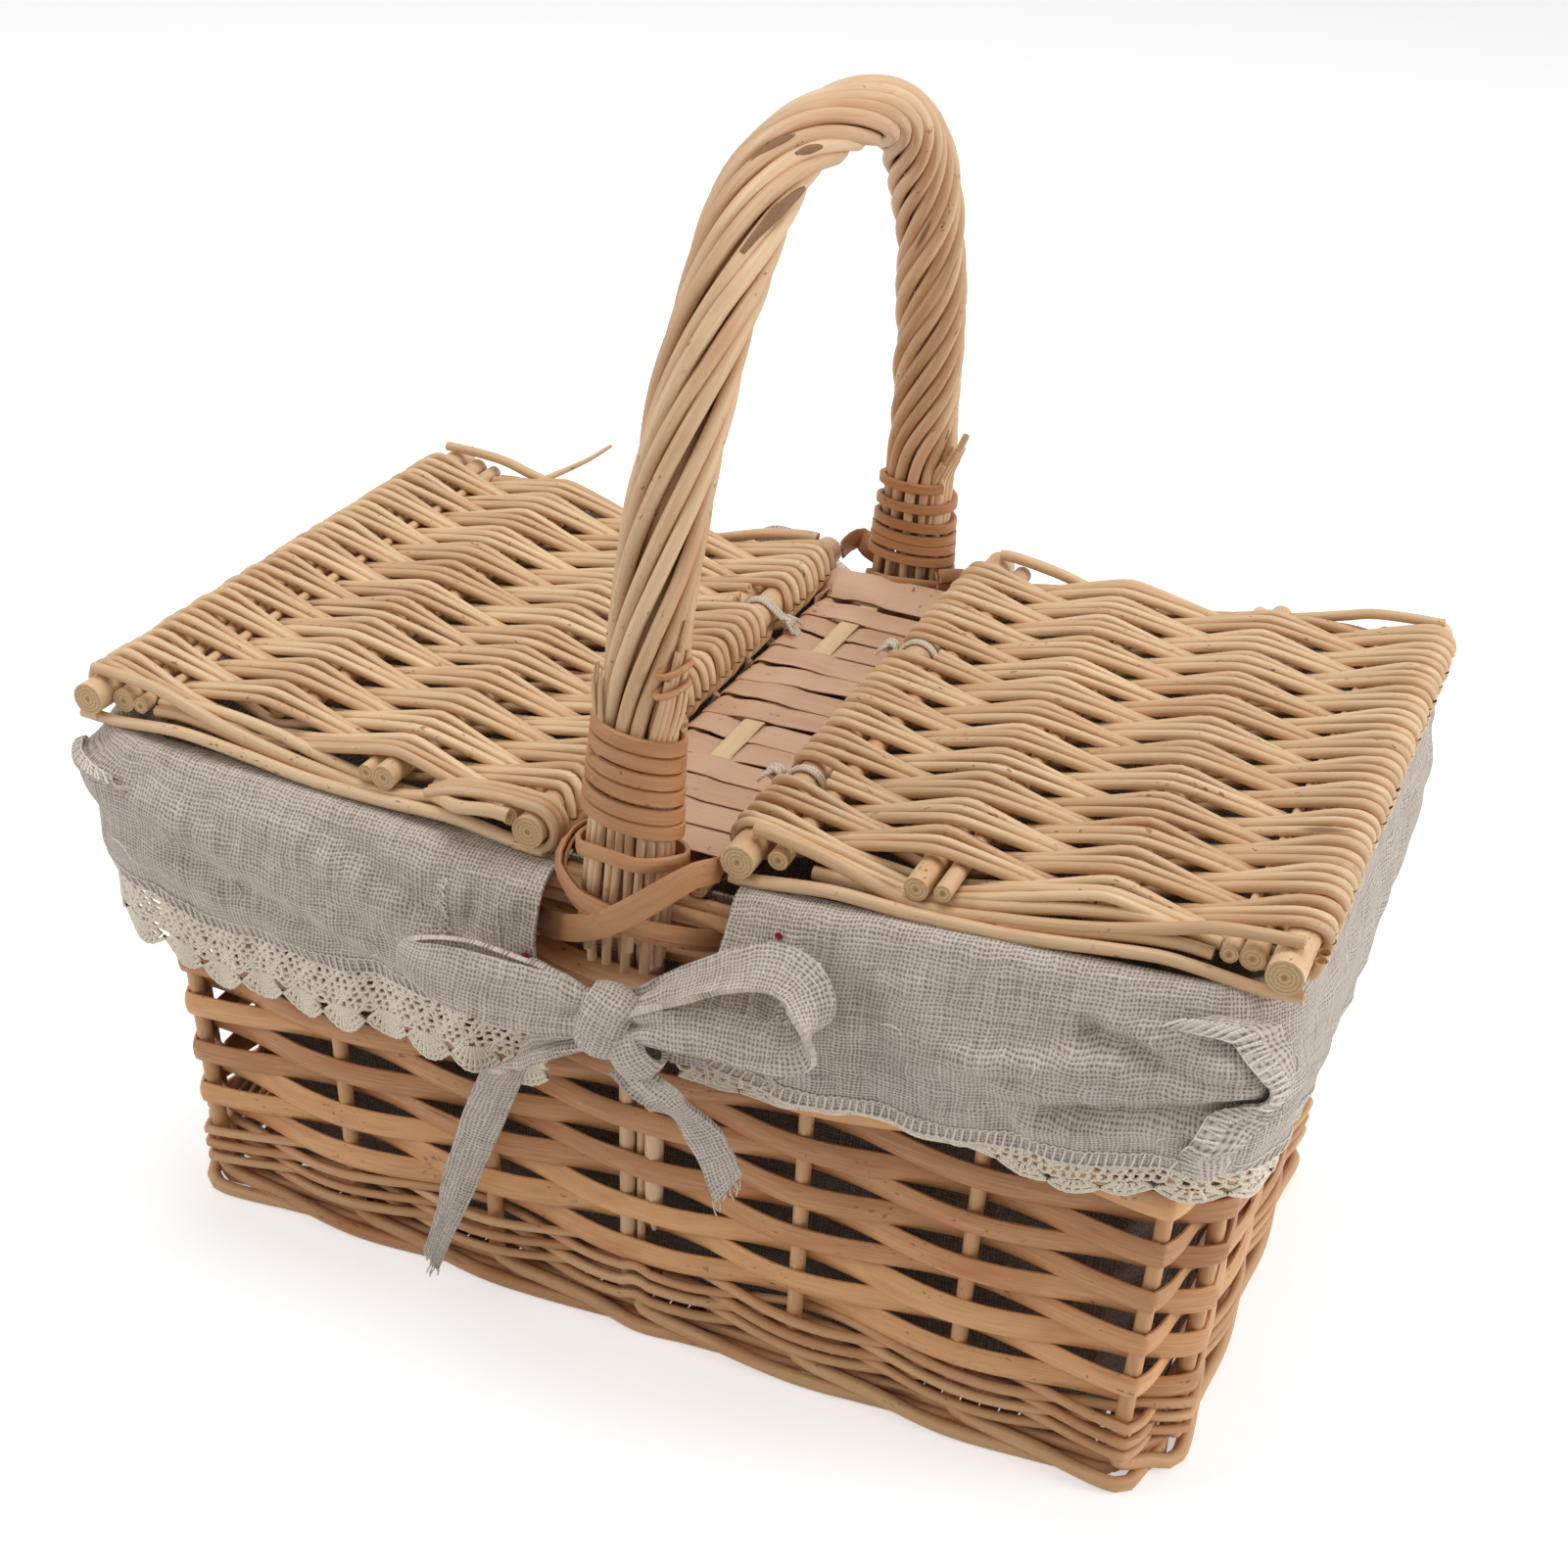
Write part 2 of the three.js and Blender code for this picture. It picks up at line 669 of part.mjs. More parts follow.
for (const { side, ties } of LIDS) {
  const inner = side * (BRIDGE_ROD_X - BRIDGE_ROD_RADIUS - CLEAR - TIE_THICK - SWING);
  const outer = side * (BRIDGE_HALF_WIDTH + 1);
  for (const y of ties) {
    const [x0, x1] = [Math.min(inner, outer), Math.max(inner, outer)];
    const h = BRIDGE_HALF_HEIGHT + 1;
    bridge = bridge.subtract(toSolid(block(x0, x1, y - tieNotch, y + tieNotch, -h, h)));
  }
}
const bridgePlace = new THREE.Matrix4().makeTranslation(0, 0, BRIDGE_HEIGHT);
add("bridge_weave", toGeometry(bridge), COLOUR.skein, bridgePlace);
add(
  "bridge_slat",
  block(
    -SLAT_WIDTH / 2,
    SLAT_WIDTH / 2,
    -SLAT_HALF_LENGTH,
    SLAT_HALF_LENGTH,
    -SLAT_THICK / 2,
    SLAT_THICK / 2,
  ),
  COLOUR.slat,
  bridgePlace,
);
for (const { name, side } of LIDS) {
  const rod = roundStick(side * BRIDGE_ROD_X, 0, BRIDGE_ROD_RADIUS, BRIDGE_ROD_HALF_LENGTH, 10);
  add(`bridge_${name}_rod`, rod, COLOUR.willow, bridgePlace);
}

// The rod along a lid's end, over and under the sticks, short of the outer one.
function edgeRod(y) {
  const over = EDGE_STICK_RADIUS + CLEAR + EDGE_ROD_RADIUS;
  const small = INNER_STICK_RADIUS + CLEAR + EDGE_ROD_RADIUS + 0.2;
  const end = LID_SPAN - EDGE_STICK_RADIUS - EDGE_ROD_RADIUS - SWING;
  const line = new THREE.CatmullRomCurve3(
    [
      [-4, over],
      [0, over],
      [EDGE_STICK_RADIUS, over - 0.5],
      [LID_SPAN / 3 - INNER_STICK_RADIUS, -small],
      [LID_SPAN / 3, -small],
      [LID_SPAN / 3 + INNER_STICK_RADIUS, -small],
      [(2 * LID_SPAN) / 3 - INNER_STICK_RADIUS, small],
      [(2 * LID_SPAN) / 3, small],
      [(2 * LID_SPAN) / 3 + INNER_STICK_RADIUS, small],
      [end, 0],
    ].map(([x, z]) => new THREE.Vector3(x, y, z)),
    false,
    "centripetal",
  );
  const sections = Array.from({ length: EDGE_ROD_STEPS + 1 }, (_, i) => {
    const p = line.getPointAt(i / EDGE_ROD_STEPS);
    const t = line.getTangentAt(i / EDGE_ROD_STEPS);
    const up = new THREE.Vector3(-t.z, 0, t.x);
    return circle(new THREE.Vector2(0, 0), EDGE_ROD_RADIUS, 6, (a, b) =>
      p.clone().addScaledVector(up, a).add(new THREE.Vector3(0, b, 0)),
    );
  });
  return loft(sections);
}

// One row of a lid's weave seen from its end: over the hinge stick and under the next, or the other way.
// At the two edges it turns round the stick until it nearly meets the next row.
function rowShape(over) {
  const under = LID_HALF_THICK - 2 * ROW_HALF_THICK;
  const [near, far] = [LID_SPAN / 3, (2 * LID_SPAN) / 3];
  const turn = (x, from, to) =>
    Array.from({ length: 4 }, (_, i) => {
      const angle = from + ((to - from) * i) / 3;
      return [x + LID_HALF_THICK * Math.cos(angle), LID_HALF_THICK * Math.sin(angle)];
    });
  const line = [
    ...turn(0, Math.PI - ROW_TURN_GAP, Math.PI / 2),
    [near, -under],
    [far, LID_HALF_THICK],
    [LID_SPAN, -under],
    [LID_SPAN, 0],
    ...turn(LID_SPAN, -ROW_TURN_GAP, -Math.PI / 2),
    [far, under],
    [near, -LID_HALF_THICK],
    [0, under],
    [0, 0],
  ];
  return new THREE.Shape(line.map(([x, z]) => new THREE.Vector2(x, over ? z : -z)));
}

// A lid about its hinge stick, reaching out along +X, cut away where its ties turn.
function lidMat(ties, side) {
  const pitch = (2 * MAT_HALF_DEPTH) / LID_ROWS;
  const rows = [true, false].map((over) => toSolid(drawnAlongY(rowShape(over), (pitch + ROW_OVERLAP) / 2)));
  let mat = rows[0].translate([0, -MAT_HALF_DEPTH + pitch / 2, 0]);
  for (let i = 1; i < LID_ROWS; i += 1) {
    mat = mat.add(rows[i % 2].translate([0, -MAT_HALF_DEPTH + (i + 0.5) * pitch, 0]));
  }
  const edgeRoom = (EDGE_STICK_RADIUS + CLEAR) / Math.cos(Math.PI / 8);
  const innerRoom = INNER_STICK_RADIUS + CLEAR;
  for (const [x, radius, sides] of [
    [0, edgeRoom, 8],
    [LID_SPAN / 3, innerRoom, 10],
    [(2 * LID_SPAN) / 3, innerRoom, 10],
    [LID_SPAN, edgeRoom, 8],
  ]) {
    mat = mat.subtract(toSolid(roundStick(x, 0, radius, MAT_HALF_DEPTH + 1, sides)));
  }
  const reach = EDGE_STICK_RADIUS + CLEAR + TIE_THICK + SWING;
  const h = LID_HALF_THICK + 1;
  return ties.reduce(
    (cut, y) => cut.subtract(toSolid(block(-h, reach, side * y - tieNotch, side * y + tieNotch, -h, h))),
    mat,
  );
}

for (const { name, side, rise, tilt, ties } of LIDS) {
  const height = RIM_HEIGHT + rise;
  const place = new THREE.Matrix4()
    .makeTranslation(side * HINGE_X, 0, height)
    .multiply(new THREE.Matrix4().makeRotationZ(side > 0 ? 0 : Math.PI))
    .multiply(new THREE.Matrix4().makeRotationY(-THREE.MathUtils.degToRad(tilt)));
  const rodY = MAT_HALF_DEPTH + CLEAR + EDGE_ROD_RADIUS;
  add(`${name}_lid_mat`, toGeometry(lidMat(ties, side)), COLOUR.willow, place);
  const edgeStick = (x) => roundStick(x, 0, EDGE_STICK_RADIUS, STICK_HALF_LENGTH, 12);
  add(`${name}_lid_hinge_stick`, edgeStick(0), COLOUR.willow, place);
  add(`${name}_lid_outer_stick`, edgeStick(LID_SPAN), COLOUR.willow, place);
  for (const [label, third] of [["near", 1], ["far", 2]]) {
    const stick = roundStick((third * LID_SPAN) / 3, 0, INNER_STICK_RADIUS, INNER_STICK_HALF_LENGTH, 10);
    add(`${name}_lid_${label}_stick`, stick, COLOUR.willow, place);
  }
  add(`${name}_lid_front_rod`, edgeRod(-side * rodY), COLOUR.willow, place);
  add(`${name}_lid_back_rod`, edgeRod(side * rodY), COLOUR.willow, place);
  ties.forEach((y, i) => {
    const stick = new THREE.Vector2(side * HINGE_X, height);
    const rod = new THREE.Vector2(side * BRIDGE_ROD_X, BRIDGE_HEIGHT);
    add(`${name}_hinge_tie_${i ? "back" : "front"}`, hingeTie(stick, rod, y), COLOUR.string);
  });
}

// Points round one half of the rim, from the front slit to the back slit, with their outward sides.
function cuffStations(side) {
  const core = [RIM_HALF_LENGTH - CUFF_CORNER_RADIUS, RIM_HALF_DEPTH - CUFF_CORNER_RADIUS];
  const front = core[0] - SLIT_HALF_WIDTH;
  const bend = (Math.PI / 2) * CUFF_CORNER_RADIUS;
  const total = 2 * (front + bend + core[1]);
  return Array.from({ length: CUFF_STATIONS + 1 }, (_, i) => {
    const s = (total * i) / CUFF_STATIONS;
    const half = s <= total / 2 ? s : total - s;
    const back = s <= total / 2 ? -1 : 1;
    const past = Math.min(Math.max(half - front, 0), bend);
    const angle = past / CUFF_CORNER_RADIUS;
    const out = new THREE.Vector3(side * Math.sin(angle), back * Math.cos(angle), 0);
    const base = new THREE.Vector3(
      side * (SLIT_HALF_WIDTH + Math.min(half, front)),
      back * (half > front + bend ? core[1] - (half - front - bend) : core[1]),
      0,
    );
    base.addScaledVector(out, CUFF_CORNER_RADIUS);
    return { base, out, s, corner: Math.sin(2 * angle) };
  });
}

// Cross-section of a cuff at a station: outward distance and height, from inside the rim to the hem.
function cuffProfile({ base, s, corner }, lid) {
  const reach = Math.abs(base.x) - HINGE_X;
  const underLid = RIM_HEIGHT + lid.rise + reach * Math.tan(THREE.MathUtils.degToRad(lid.tilt));
  const crest = underLid - LID_HALF_THICK - SWING - CLOTH_THICK;
  const hem = RIM_HEIGHT - CUFF_HEM_DROP + CUFF_CORNER_LIFT * corner;
  const fold = FOLD_DEPTH * Math.sin((2 * Math.PI * s) / FOLD_LENGTH + lid.side);
  const seat = RIM_HEIGHT + CLEAR + CLOTH_THICK / 2;
  return [
    [-RING_DEPTH + 1, seat],
    [-RING_DEPTH / 3, Math.max(seat, crest)],
    [CUFF_BULGE / 3, Math.max(seat, crest)],
    [CUFF_BULGE * 0.75 + fold * 0.2, RIM_HEIGHT - CUFF_HEM_DROP * 0.09],
    [CUFF_BULGE + fold * 0.5, RIM_HEIGHT - CUFF_HEM_DROP * 0.33],
    [CUFF_BULGE * 0.94 + fold * 0.8, RIM_HEIGHT - CUFF_HEM_DROP * 0.57],
    [CUFF_HEM_OUT + fold, hem],
  ].map(([u, z]) => new THREE.Vector2(u, z));
}

// A thin sheet with the given centre lines, one for each station.
function sheet(stations, lines, thick) {
  return loft(
    stations.map(({ base, out }, i) => {
      const line = lines[i];
      const faces = [thick / 2, -thick / 2].map((d) =>
        line.map((p, k) => {
          const ahead = line[Math.min(k + 1, line.length - 1)];
          const behind = line[Math.max(k - 1, 0)];
          const t = ahead.clone().sub(behind).normalize();
          return base
            .clone()
            .addScaledVector(out, p.x - d * t.y)
            .setZ(p.y + d * t.x);
        }),
      );
      return [...faces[0], ...faces[1].reverse()];
    }),
    { strip: true },
  );
}

for (const lid of LIDS) {
  const stations = cuffStations(lid.side);
  const profiles = stations.map((station) => cuffProfile(station, lid));
  const drop = lid.side < 0 ? LEFT_LACE_DROP : RIGHT_LACE_DROP;
  const laceLines = profiles.map((line) => {
    const hem = line.at(-1);
    const top = hem.y - CLOTH_THICK / 2 - CLEAR;
    return [0, 1].map((v) => new THREE.Vector2(hem.x - LACE_LEAN * v, top - drop * v));
  });
  add(`${lid.name}_cuff`, sheet(stations, profiles, CLOTH_THICK), COLOUR.linen);
  add(`${lid.name}_lace`, sheet(stations, laceLines, LACE_THICK), COLOUR.lace);
}

// A flat ribbon along points, as wide as given across its own direction.
function ribbon(points, acrossAt, width) {
  const line = new THREE.CatmullRomCurve3(points, false, "centripetal");
  const steps = RIBBON_STEPS * (points.length - 1);
  return loft(
    Array.from({ length: steps + 1 }, (_, i) => {
      const p = line.getPointAt(i / steps);
      const t = line.getTangentAt(i / steps);
      const face = t.clone().cross(acrossAt).normalize().multiplyScalar(RIBBON_THICK / 2);
      const edge = face.clone().cross(t).setLength(width / 2);
      return [
        p.clone().add(face).add(edge),
        p.clone().add(face).sub(edge),
        p.clone().sub(face).sub(edge),
        p.clone().sub(face).add(edge),
      ];
    }),
  );
}

// A bow of two ties: straps from the cuffs, a knot, two loops and two tails.
// Loops and tails are drawn from the knot for a reach of 76 and drops of 137 and 66, then scaled.
function bow() {
  const front = -RIM_HALF_DEPTH - CUFF_BULGE - FOLD_DEPTH - KNOT_HALF[1];
  const knot = new THREE.Vector3(KNOT_SHIFT_X, front, RIM_HEIGHT - KNOT_DROP);
  const path = (scale, line) => line.map((p) => new THREE.Vector3(...p).multiplyScalar(scale).add(knot));
  const strapEnd = SLIT_HALF_WIDTH - CLEAR;
  const strapRun = RIBBON_WIDTH / 3;
  const strapY = -RIM_HALF_DEPTH - CUFF_BULGE;
  const strapZ = knot.z + STRAP_RISE;
  const up = new THREE.Vector3(0, 0, 1);
  const deep = new THREE.Vector3(0, 1, 0);
  const wide = new THREE.Vector3(1, 0, 0);
  const strap = (side) => [
    new THREE.Vector3(side * strapEnd, strapY, strapZ),
    new THREE.Vector3(side * (strapEnd - strapRun), strapY, strapZ),
    new THREE.Vector3((side * strapEnd + knot.x) / 2, strapY - KNOT_HALF[1] / 2, knot.z + RIBBON_WIDTH / 3),
    knot.clone(),
  ];
  const leftLoop = [
    [-3, -3, 0],
    [-30, -6, 7],
    [-60, -7, 9],
    [-76, -3, 5],
    [-60, 2, 1],
    [-30, 3, -1],
    [-3, 2, -1],
  ];
  const rightLoop = [
    [3, -1, 3],
    [30, -3, 19],
    [55, -4, 27],
    [70, -4, 24],
    [66, -4, 9],
    [40, -3, -2],
    [3, -1, -3],
  ];
  const leftTail = [
    [-3, -2, -3],
    [-18, 3, -26],
    [-36, 11, -52],
    [-56, 22, -88],
    [-76, 27, -137],
  ];
  const rightTail = [
    [3, -2, -3],
    [13, 3, -26],
    [24, 8, -46],
    [36, 13, -66],
  ];
  const pieces = [
    new THREE.SphereGeometry(1, 12, 6).scale(...KNOT_HALF).translate(...knot.toArray()),
    ribbon(strap(-1), up, RIBBON_WIDTH),
    ribbon(strap(1), up, RIBBON_WIDTH),
    ribbon(path(LOOP_REACH / 76, leftLoop), up, RIBBON_WIDTH),
    ribbon(path(LOOP_REACH / 76, rightLoop), deep, RIBBON_WIDTH),
    ribbon(path(LEFT_TAIL_DROP / 137, leftTail), wide, RIBBON_WIDTH),
    ribbon(path(RIGHT_TAIL_DROP / 66, rightTail), wide, RIBBON_WIDTH),
  ];
  return toGeometry(joined(pieces));
}
add("front_bow", bow(), COLOUR.linen);
add("back_bow", bow(), COLOUR.linen, new THREE.Matrix4().makeRotationZ(Math.PI));

export default group;
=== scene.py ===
# %% [markdown]
# # A willow picnic basket
# The basket has a body of split willow, a twisted handle, two hinged lids and a linen liner with a
# lace edge. This lesson lays real rods, strips, skeins and cloth where the frame's solids are, so that
# the weave is seen as a weave. Lengths are in millimetres until a mesh is made.

# %% Frame and units
import math

import bpy
import numpy as np
from mathutils import Matrix, Vector


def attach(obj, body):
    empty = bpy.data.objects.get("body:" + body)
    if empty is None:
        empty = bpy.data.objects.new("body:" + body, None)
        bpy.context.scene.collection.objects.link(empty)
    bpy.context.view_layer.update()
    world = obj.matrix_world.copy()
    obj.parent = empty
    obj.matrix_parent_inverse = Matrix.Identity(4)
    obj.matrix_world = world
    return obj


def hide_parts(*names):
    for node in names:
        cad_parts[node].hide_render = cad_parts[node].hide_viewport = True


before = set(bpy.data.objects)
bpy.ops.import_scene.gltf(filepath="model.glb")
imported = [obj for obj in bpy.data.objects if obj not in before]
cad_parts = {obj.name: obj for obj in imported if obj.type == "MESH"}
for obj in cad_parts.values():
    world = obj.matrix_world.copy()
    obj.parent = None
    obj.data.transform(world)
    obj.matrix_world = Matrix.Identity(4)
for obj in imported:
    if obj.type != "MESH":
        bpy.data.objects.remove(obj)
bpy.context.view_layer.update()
MM = 0.001
rng = np.random.default_rng(11)

# %% [markdown]
# ## Camera
# The picture was taken from the front, a little to the right and from above, and the camera was
# held with a slight roll. The camera is made first, because every later choice is judged in its view.

# %% Camera
FOCAL_SHARE, SENSOR = 2430 / 1601, 36
AZIMUTH, ELEVATION, ROLL = (math.radians(a) for a in (21.4, 29.1, 3.3))
TARGET = Vector((0, 0, 0.165))
DISTANCE = 0.845

level = math.cos(ELEVATION)
back = Vector((math.sin(AZIMUTH) * level, -math.cos(AZIMUTH) * level, math.sin(ELEVATION)))
right = Vector((math.cos(AZIMUTH), math.sin(AZIMUTH), 0))
above = back.cross(right)
right, above = (
    math.cos(ROLL) * right + math.sin(ROLL) * above,
    math.cos(ROLL) * above - math.sin(ROLL) * right,
)
lens = bpy.data.cameras.new("camera")
lens.sensor_width = SENSOR
lens.lens = SENSOR * FOCAL_SHARE
camera = bpy.data.objects.new("camera", lens)
turned = Matrix((right, above, back)).transposed().to_4x4()
camera.matrix_world = Matrix.Translation(TARGET + DISTANCE * back) @ turned
bpy.context.collection.objects.link(camera)
bpy.context.scene.camera = camera
bpy.context.scene.view_settings.view_transform = "Standard"
print("camera at", tuple(round(v, 3) for v in camera.location))

# %% [markdown]
# ## Rods, strips and skeins
# Everything woven here is a long thing with one cross-section: a round rod, a half-round strip, a
# flat skein or a cord. Curves with a bevel could make them, but a mesh laid ring by ring also carries
# a map along the length for the grain, and a tone for each rod, so no two look the same.

# %% Cross-sections
def circle(count):
    return np.array([(math.cos(a), math.sin(a)) for a in np.arange(count) * math.pi / (count // 2)])


FINE, ROUND, STICK = circle(6), circle(8), circle(16)
HALF_ROUND = np.array(
    [(-1, -1), (1, -1), (1, -0.35), (0.72, 0.5), (0.25, 1), (-0.25, 1), (-0.72, 0.5), (-1, -0.35)]
)
SKEIN = np.array([(-1, -0.4), (-0.85, -1), (0.85, -1), (1, -0.4), (1, 0.4), (0.8, 1), (-0.8, 1), (-1, 0.4)])
print("corners of the sections:", [len(section) for section in (FINE, ROUND, STICK, HALF_ROUND, SKEIN)])


# %% Lines
def unit(v):
    return v / np.maximum(np.linalg.norm(v, axis=-1, keepdims=True), 1e-9)


def ease(t):
    return 0.5 - 0.5 * np.cos(np.pi * np.clip(t, 0, 1))


def places(x, y, z):
    """Places from three coordinates, each one number for all of them or one for each."""
    return np.stack(np.broadcast_arrays(x, y, z), -1)


def lengths_along(path):
    """The distance along a line from its start to each place."""
    return np.concatenate([[0], np.cumsum(np.linalg.norm(np.diff(path, axis=0), axis=1))])


def smooth_line(points, step):
    """A curve through the points, with a place about every step millimetres."""
    p = np.asarray(points, float)
    ghost = np.vstack([2 * p[0] - p[1], p, 2 * p[-1] - p[-2]])
    runs = []
    for a, b, c, d in zip(ghost, ghost[1:], ghost[2:], ghost[3:]):
        t = np.linspace(0, 1, max(2, int(np.linalg.norm(c - b) / step)), endpoint=False)[:, None]
        cubic = 3 * b - a - 3 * c + d
        runs.append(0.5 * (2 * b + (c - a) * t + (2 * a - 5 * b + 4 * c - d) * t**2 + cubic * t**3))
    return np.vstack(runs + [p[-1:]])


def frames_along(path, up):
    """The two sides of a line: across it, and towards up where that is given."""
    t = unit(np.gradient(path, axis=0))
    if up is not None:
        up = np.broadcast_to(np.asarray(up, float), path.shape)
        n = unit(up - (up * t).sum(1, keepdims=True) * t)
        return np.cross(t, n), n
    n = np.empty_like(path)
    seed = np.array((0.0, 0.0, 1.0)) if abs(t[0, 2]) < 0.9 else np.array((1.0, 0.0, 0.0))
    for i, along in enumerate(t):
        seed = unit(seed - seed.dot(along) * along)
        n[i] = seed
    return np.cross(t, n), n


def wander(count, size, spacing=6):
    """Slow random change along a line, about as large as size."""
    knots = rng.normal(0, size, count // spacing + 3)
    return np.interp(np.arange(count) / spacing, np.arange(len(knots)), knots)


bent = smooth_line([(100, 0, 0), (71, 71, 0), (0, 100, 0)], 5)
print("a bent line:", len(bent), "places,", round(lengths_along(bent)[-1]), "mm")

# %% A bundle of rods as one mesh
MAP_SHIFT = 400
SHARP_EDGE = math.radians(50)


def fill(layer, key, values, kind):
    layer.foreach_set(key, values.astype(kind).ravel())


class Bundle:
    """Rods, strips and cords gathered into one mesh, with a material for the sides and one for cut ends."""

    def __init__(self, *materials):
        self.materials = materials
        self.points, self.faces, self.maps, self.slots, self.tones = [], [], [], [], []
        self.count = 0

    def _points(self, points, tone):
        self.points.append(points)
        self.tones.append(np.full(len(points), tone))
        self.count += len(points)

    def _faces(self, faces, maps, slot):
        self.faces.append(np.asarray(faces))
        self.maps.append(np.asarray(maps) * MM)
        self.slots.append(np.full(len(faces), slot))

    def rod(self, path, half, tone=None, section=ROUND, up=None, ends=True):
        """half is the radius, or (half width, half thickness), and may change along the line."""
        path = np.asarray(path, float)
        n, k = len(path), len(section)
        tone = rng.random() if tone is None else tone
        half = np.asarray(half, float)
        half = np.broadcast_to(half[..., None] if half.shape in ((), (n,)) else half, (n, 2))
        side, normal = frames_along(path, up)
        rings = path[:, None] + side[:, None] * (half[:, None, :1] * section[None, :, :1])
        rings = rings + normal[:, None] * (half[:, None, 1:] * section[None, :, 1:])
        i, j = np.meshgrid(np.arange(n - 1), np.arange(k), indexing="ij")
        a, b = i * k + j, i * k + (j + 1) % k
        quads = np.stack([a, b, b + k, a + k], -1).reshape(-1, 4) + self.count
        along = lengths_along(path) + MAP_SHIFT * tone
        girth = np.linalg.norm(np.roll(section, -1, 0) - section, axis=1) * half.mean()
        around = np.concatenate([[0], np.cumsum(girth)])
        spots = ((i, j), (i, j + 1), (i + 1, j + 1), (i + 1, j))
        uv = np.stack([np.stack([along[p], around[q]], -1) for p, q in spots], 2)
        self._faces(quads, uv.reshape(-1, 4, 2), 0)
        self._points(rings.reshape(-1, 3), tone)
        if ends:
            self._cap(rings[0], half[0] * section, True, tone)
            self._cap(rings[-1], half[-1] * section, False, tone)

    def cord(self, path, radius, ends=True):
        """A string, thread or yarn."""
        self.rod(path, radius, section=FINE, ends=ends)

    def skein(self, path, half, tone, up, ends=True):
        """A flat shaving of willow whose face looks towards up."""
        self.rod(path, half, tone, SKEIN, up, ends)

    def _cap(self, ring, flat, first, tone):
        k = len(ring)
        j = np.arange(k)
        order = [(j + 1) % k, j] if first else [j, (j + 1) % k]
        tri = np.stack([*order, np.full(k, k)], -1)
        spots = np.vstack([flat, (0, 0)])
        self._faces(tri + self.count, spots[tri], 1)
        self._points(np.vstack([ring, ring.mean(0)]), tone)

    def build(self, name, slot, nodes=(), body="basket", place=None):
        """Makes the object, hangs it on its body and lets it stand for its solids."""
        mesh = bpy.data.meshes.new(name)
        sizes = np.concatenate([np.full(len(f), f.shape[1]) for f in self.faces])
        mesh.vertices.add(self.count)
        fill(mesh.vertices, "co", np.vstack(self.points) * MM, np.float32)
        mesh.loops.add(int(sizes.sum()))
        fill(mesh.loops, "vertex_index", np.concatenate([f.ravel() for f in self.faces]), np.int32)
        mesh.polygons.add(len(sizes))
        fill(mesh.polygons, "loop_start", np.cumsum(sizes) - sizes, np.int32)
        fill(mesh.polygons, "material_index", np.concatenate(self.slots), np.int32)
        fill(mesh.polygons, "use_smooth", np.ones(len(sizes)), bool)
        layer = mesh.uv_layers.new(name="UVMap")
        fill(layer.data, "uv", np.concatenate([m.reshape(-1, 2) for m in self.maps]), np.float32)
        layer = mesh.attributes.new("tone", "FLOAT", "POINT")
        fill(layer.data, "value", np.concatenate(self.tones), np.float32)
        mesh.update(calc_edges=True)
        if place is not None:
            mesh.transform(place)
        mesh.set_sharp_from_angle(angle=SHARP_EDGE)
        piece = bpy.data.objects.new(name, mesh)
        bpy.context.collection.objects.link(piece)
        for material in self.materials:
            mesh.materials.append(material)
        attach(piece, body)
        if nodes:
            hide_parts(*nodes)
        print(f"{name}: {self.count} points, {len(sizes)} faces")
        return piece


# %% [markdown]
# ## Finishes
# Peeled willow is a satin wood with fine fibres along the rod, slow changes of colour and a few dark
# flecks. One node group makes those three from the map along each rod, and each willow finish gives it
# its own colours: honey for lids and handle, redder for the split strips of the wall, pinkish for the
# shaved skeins. The cloth has its own group for the threads of the weave.

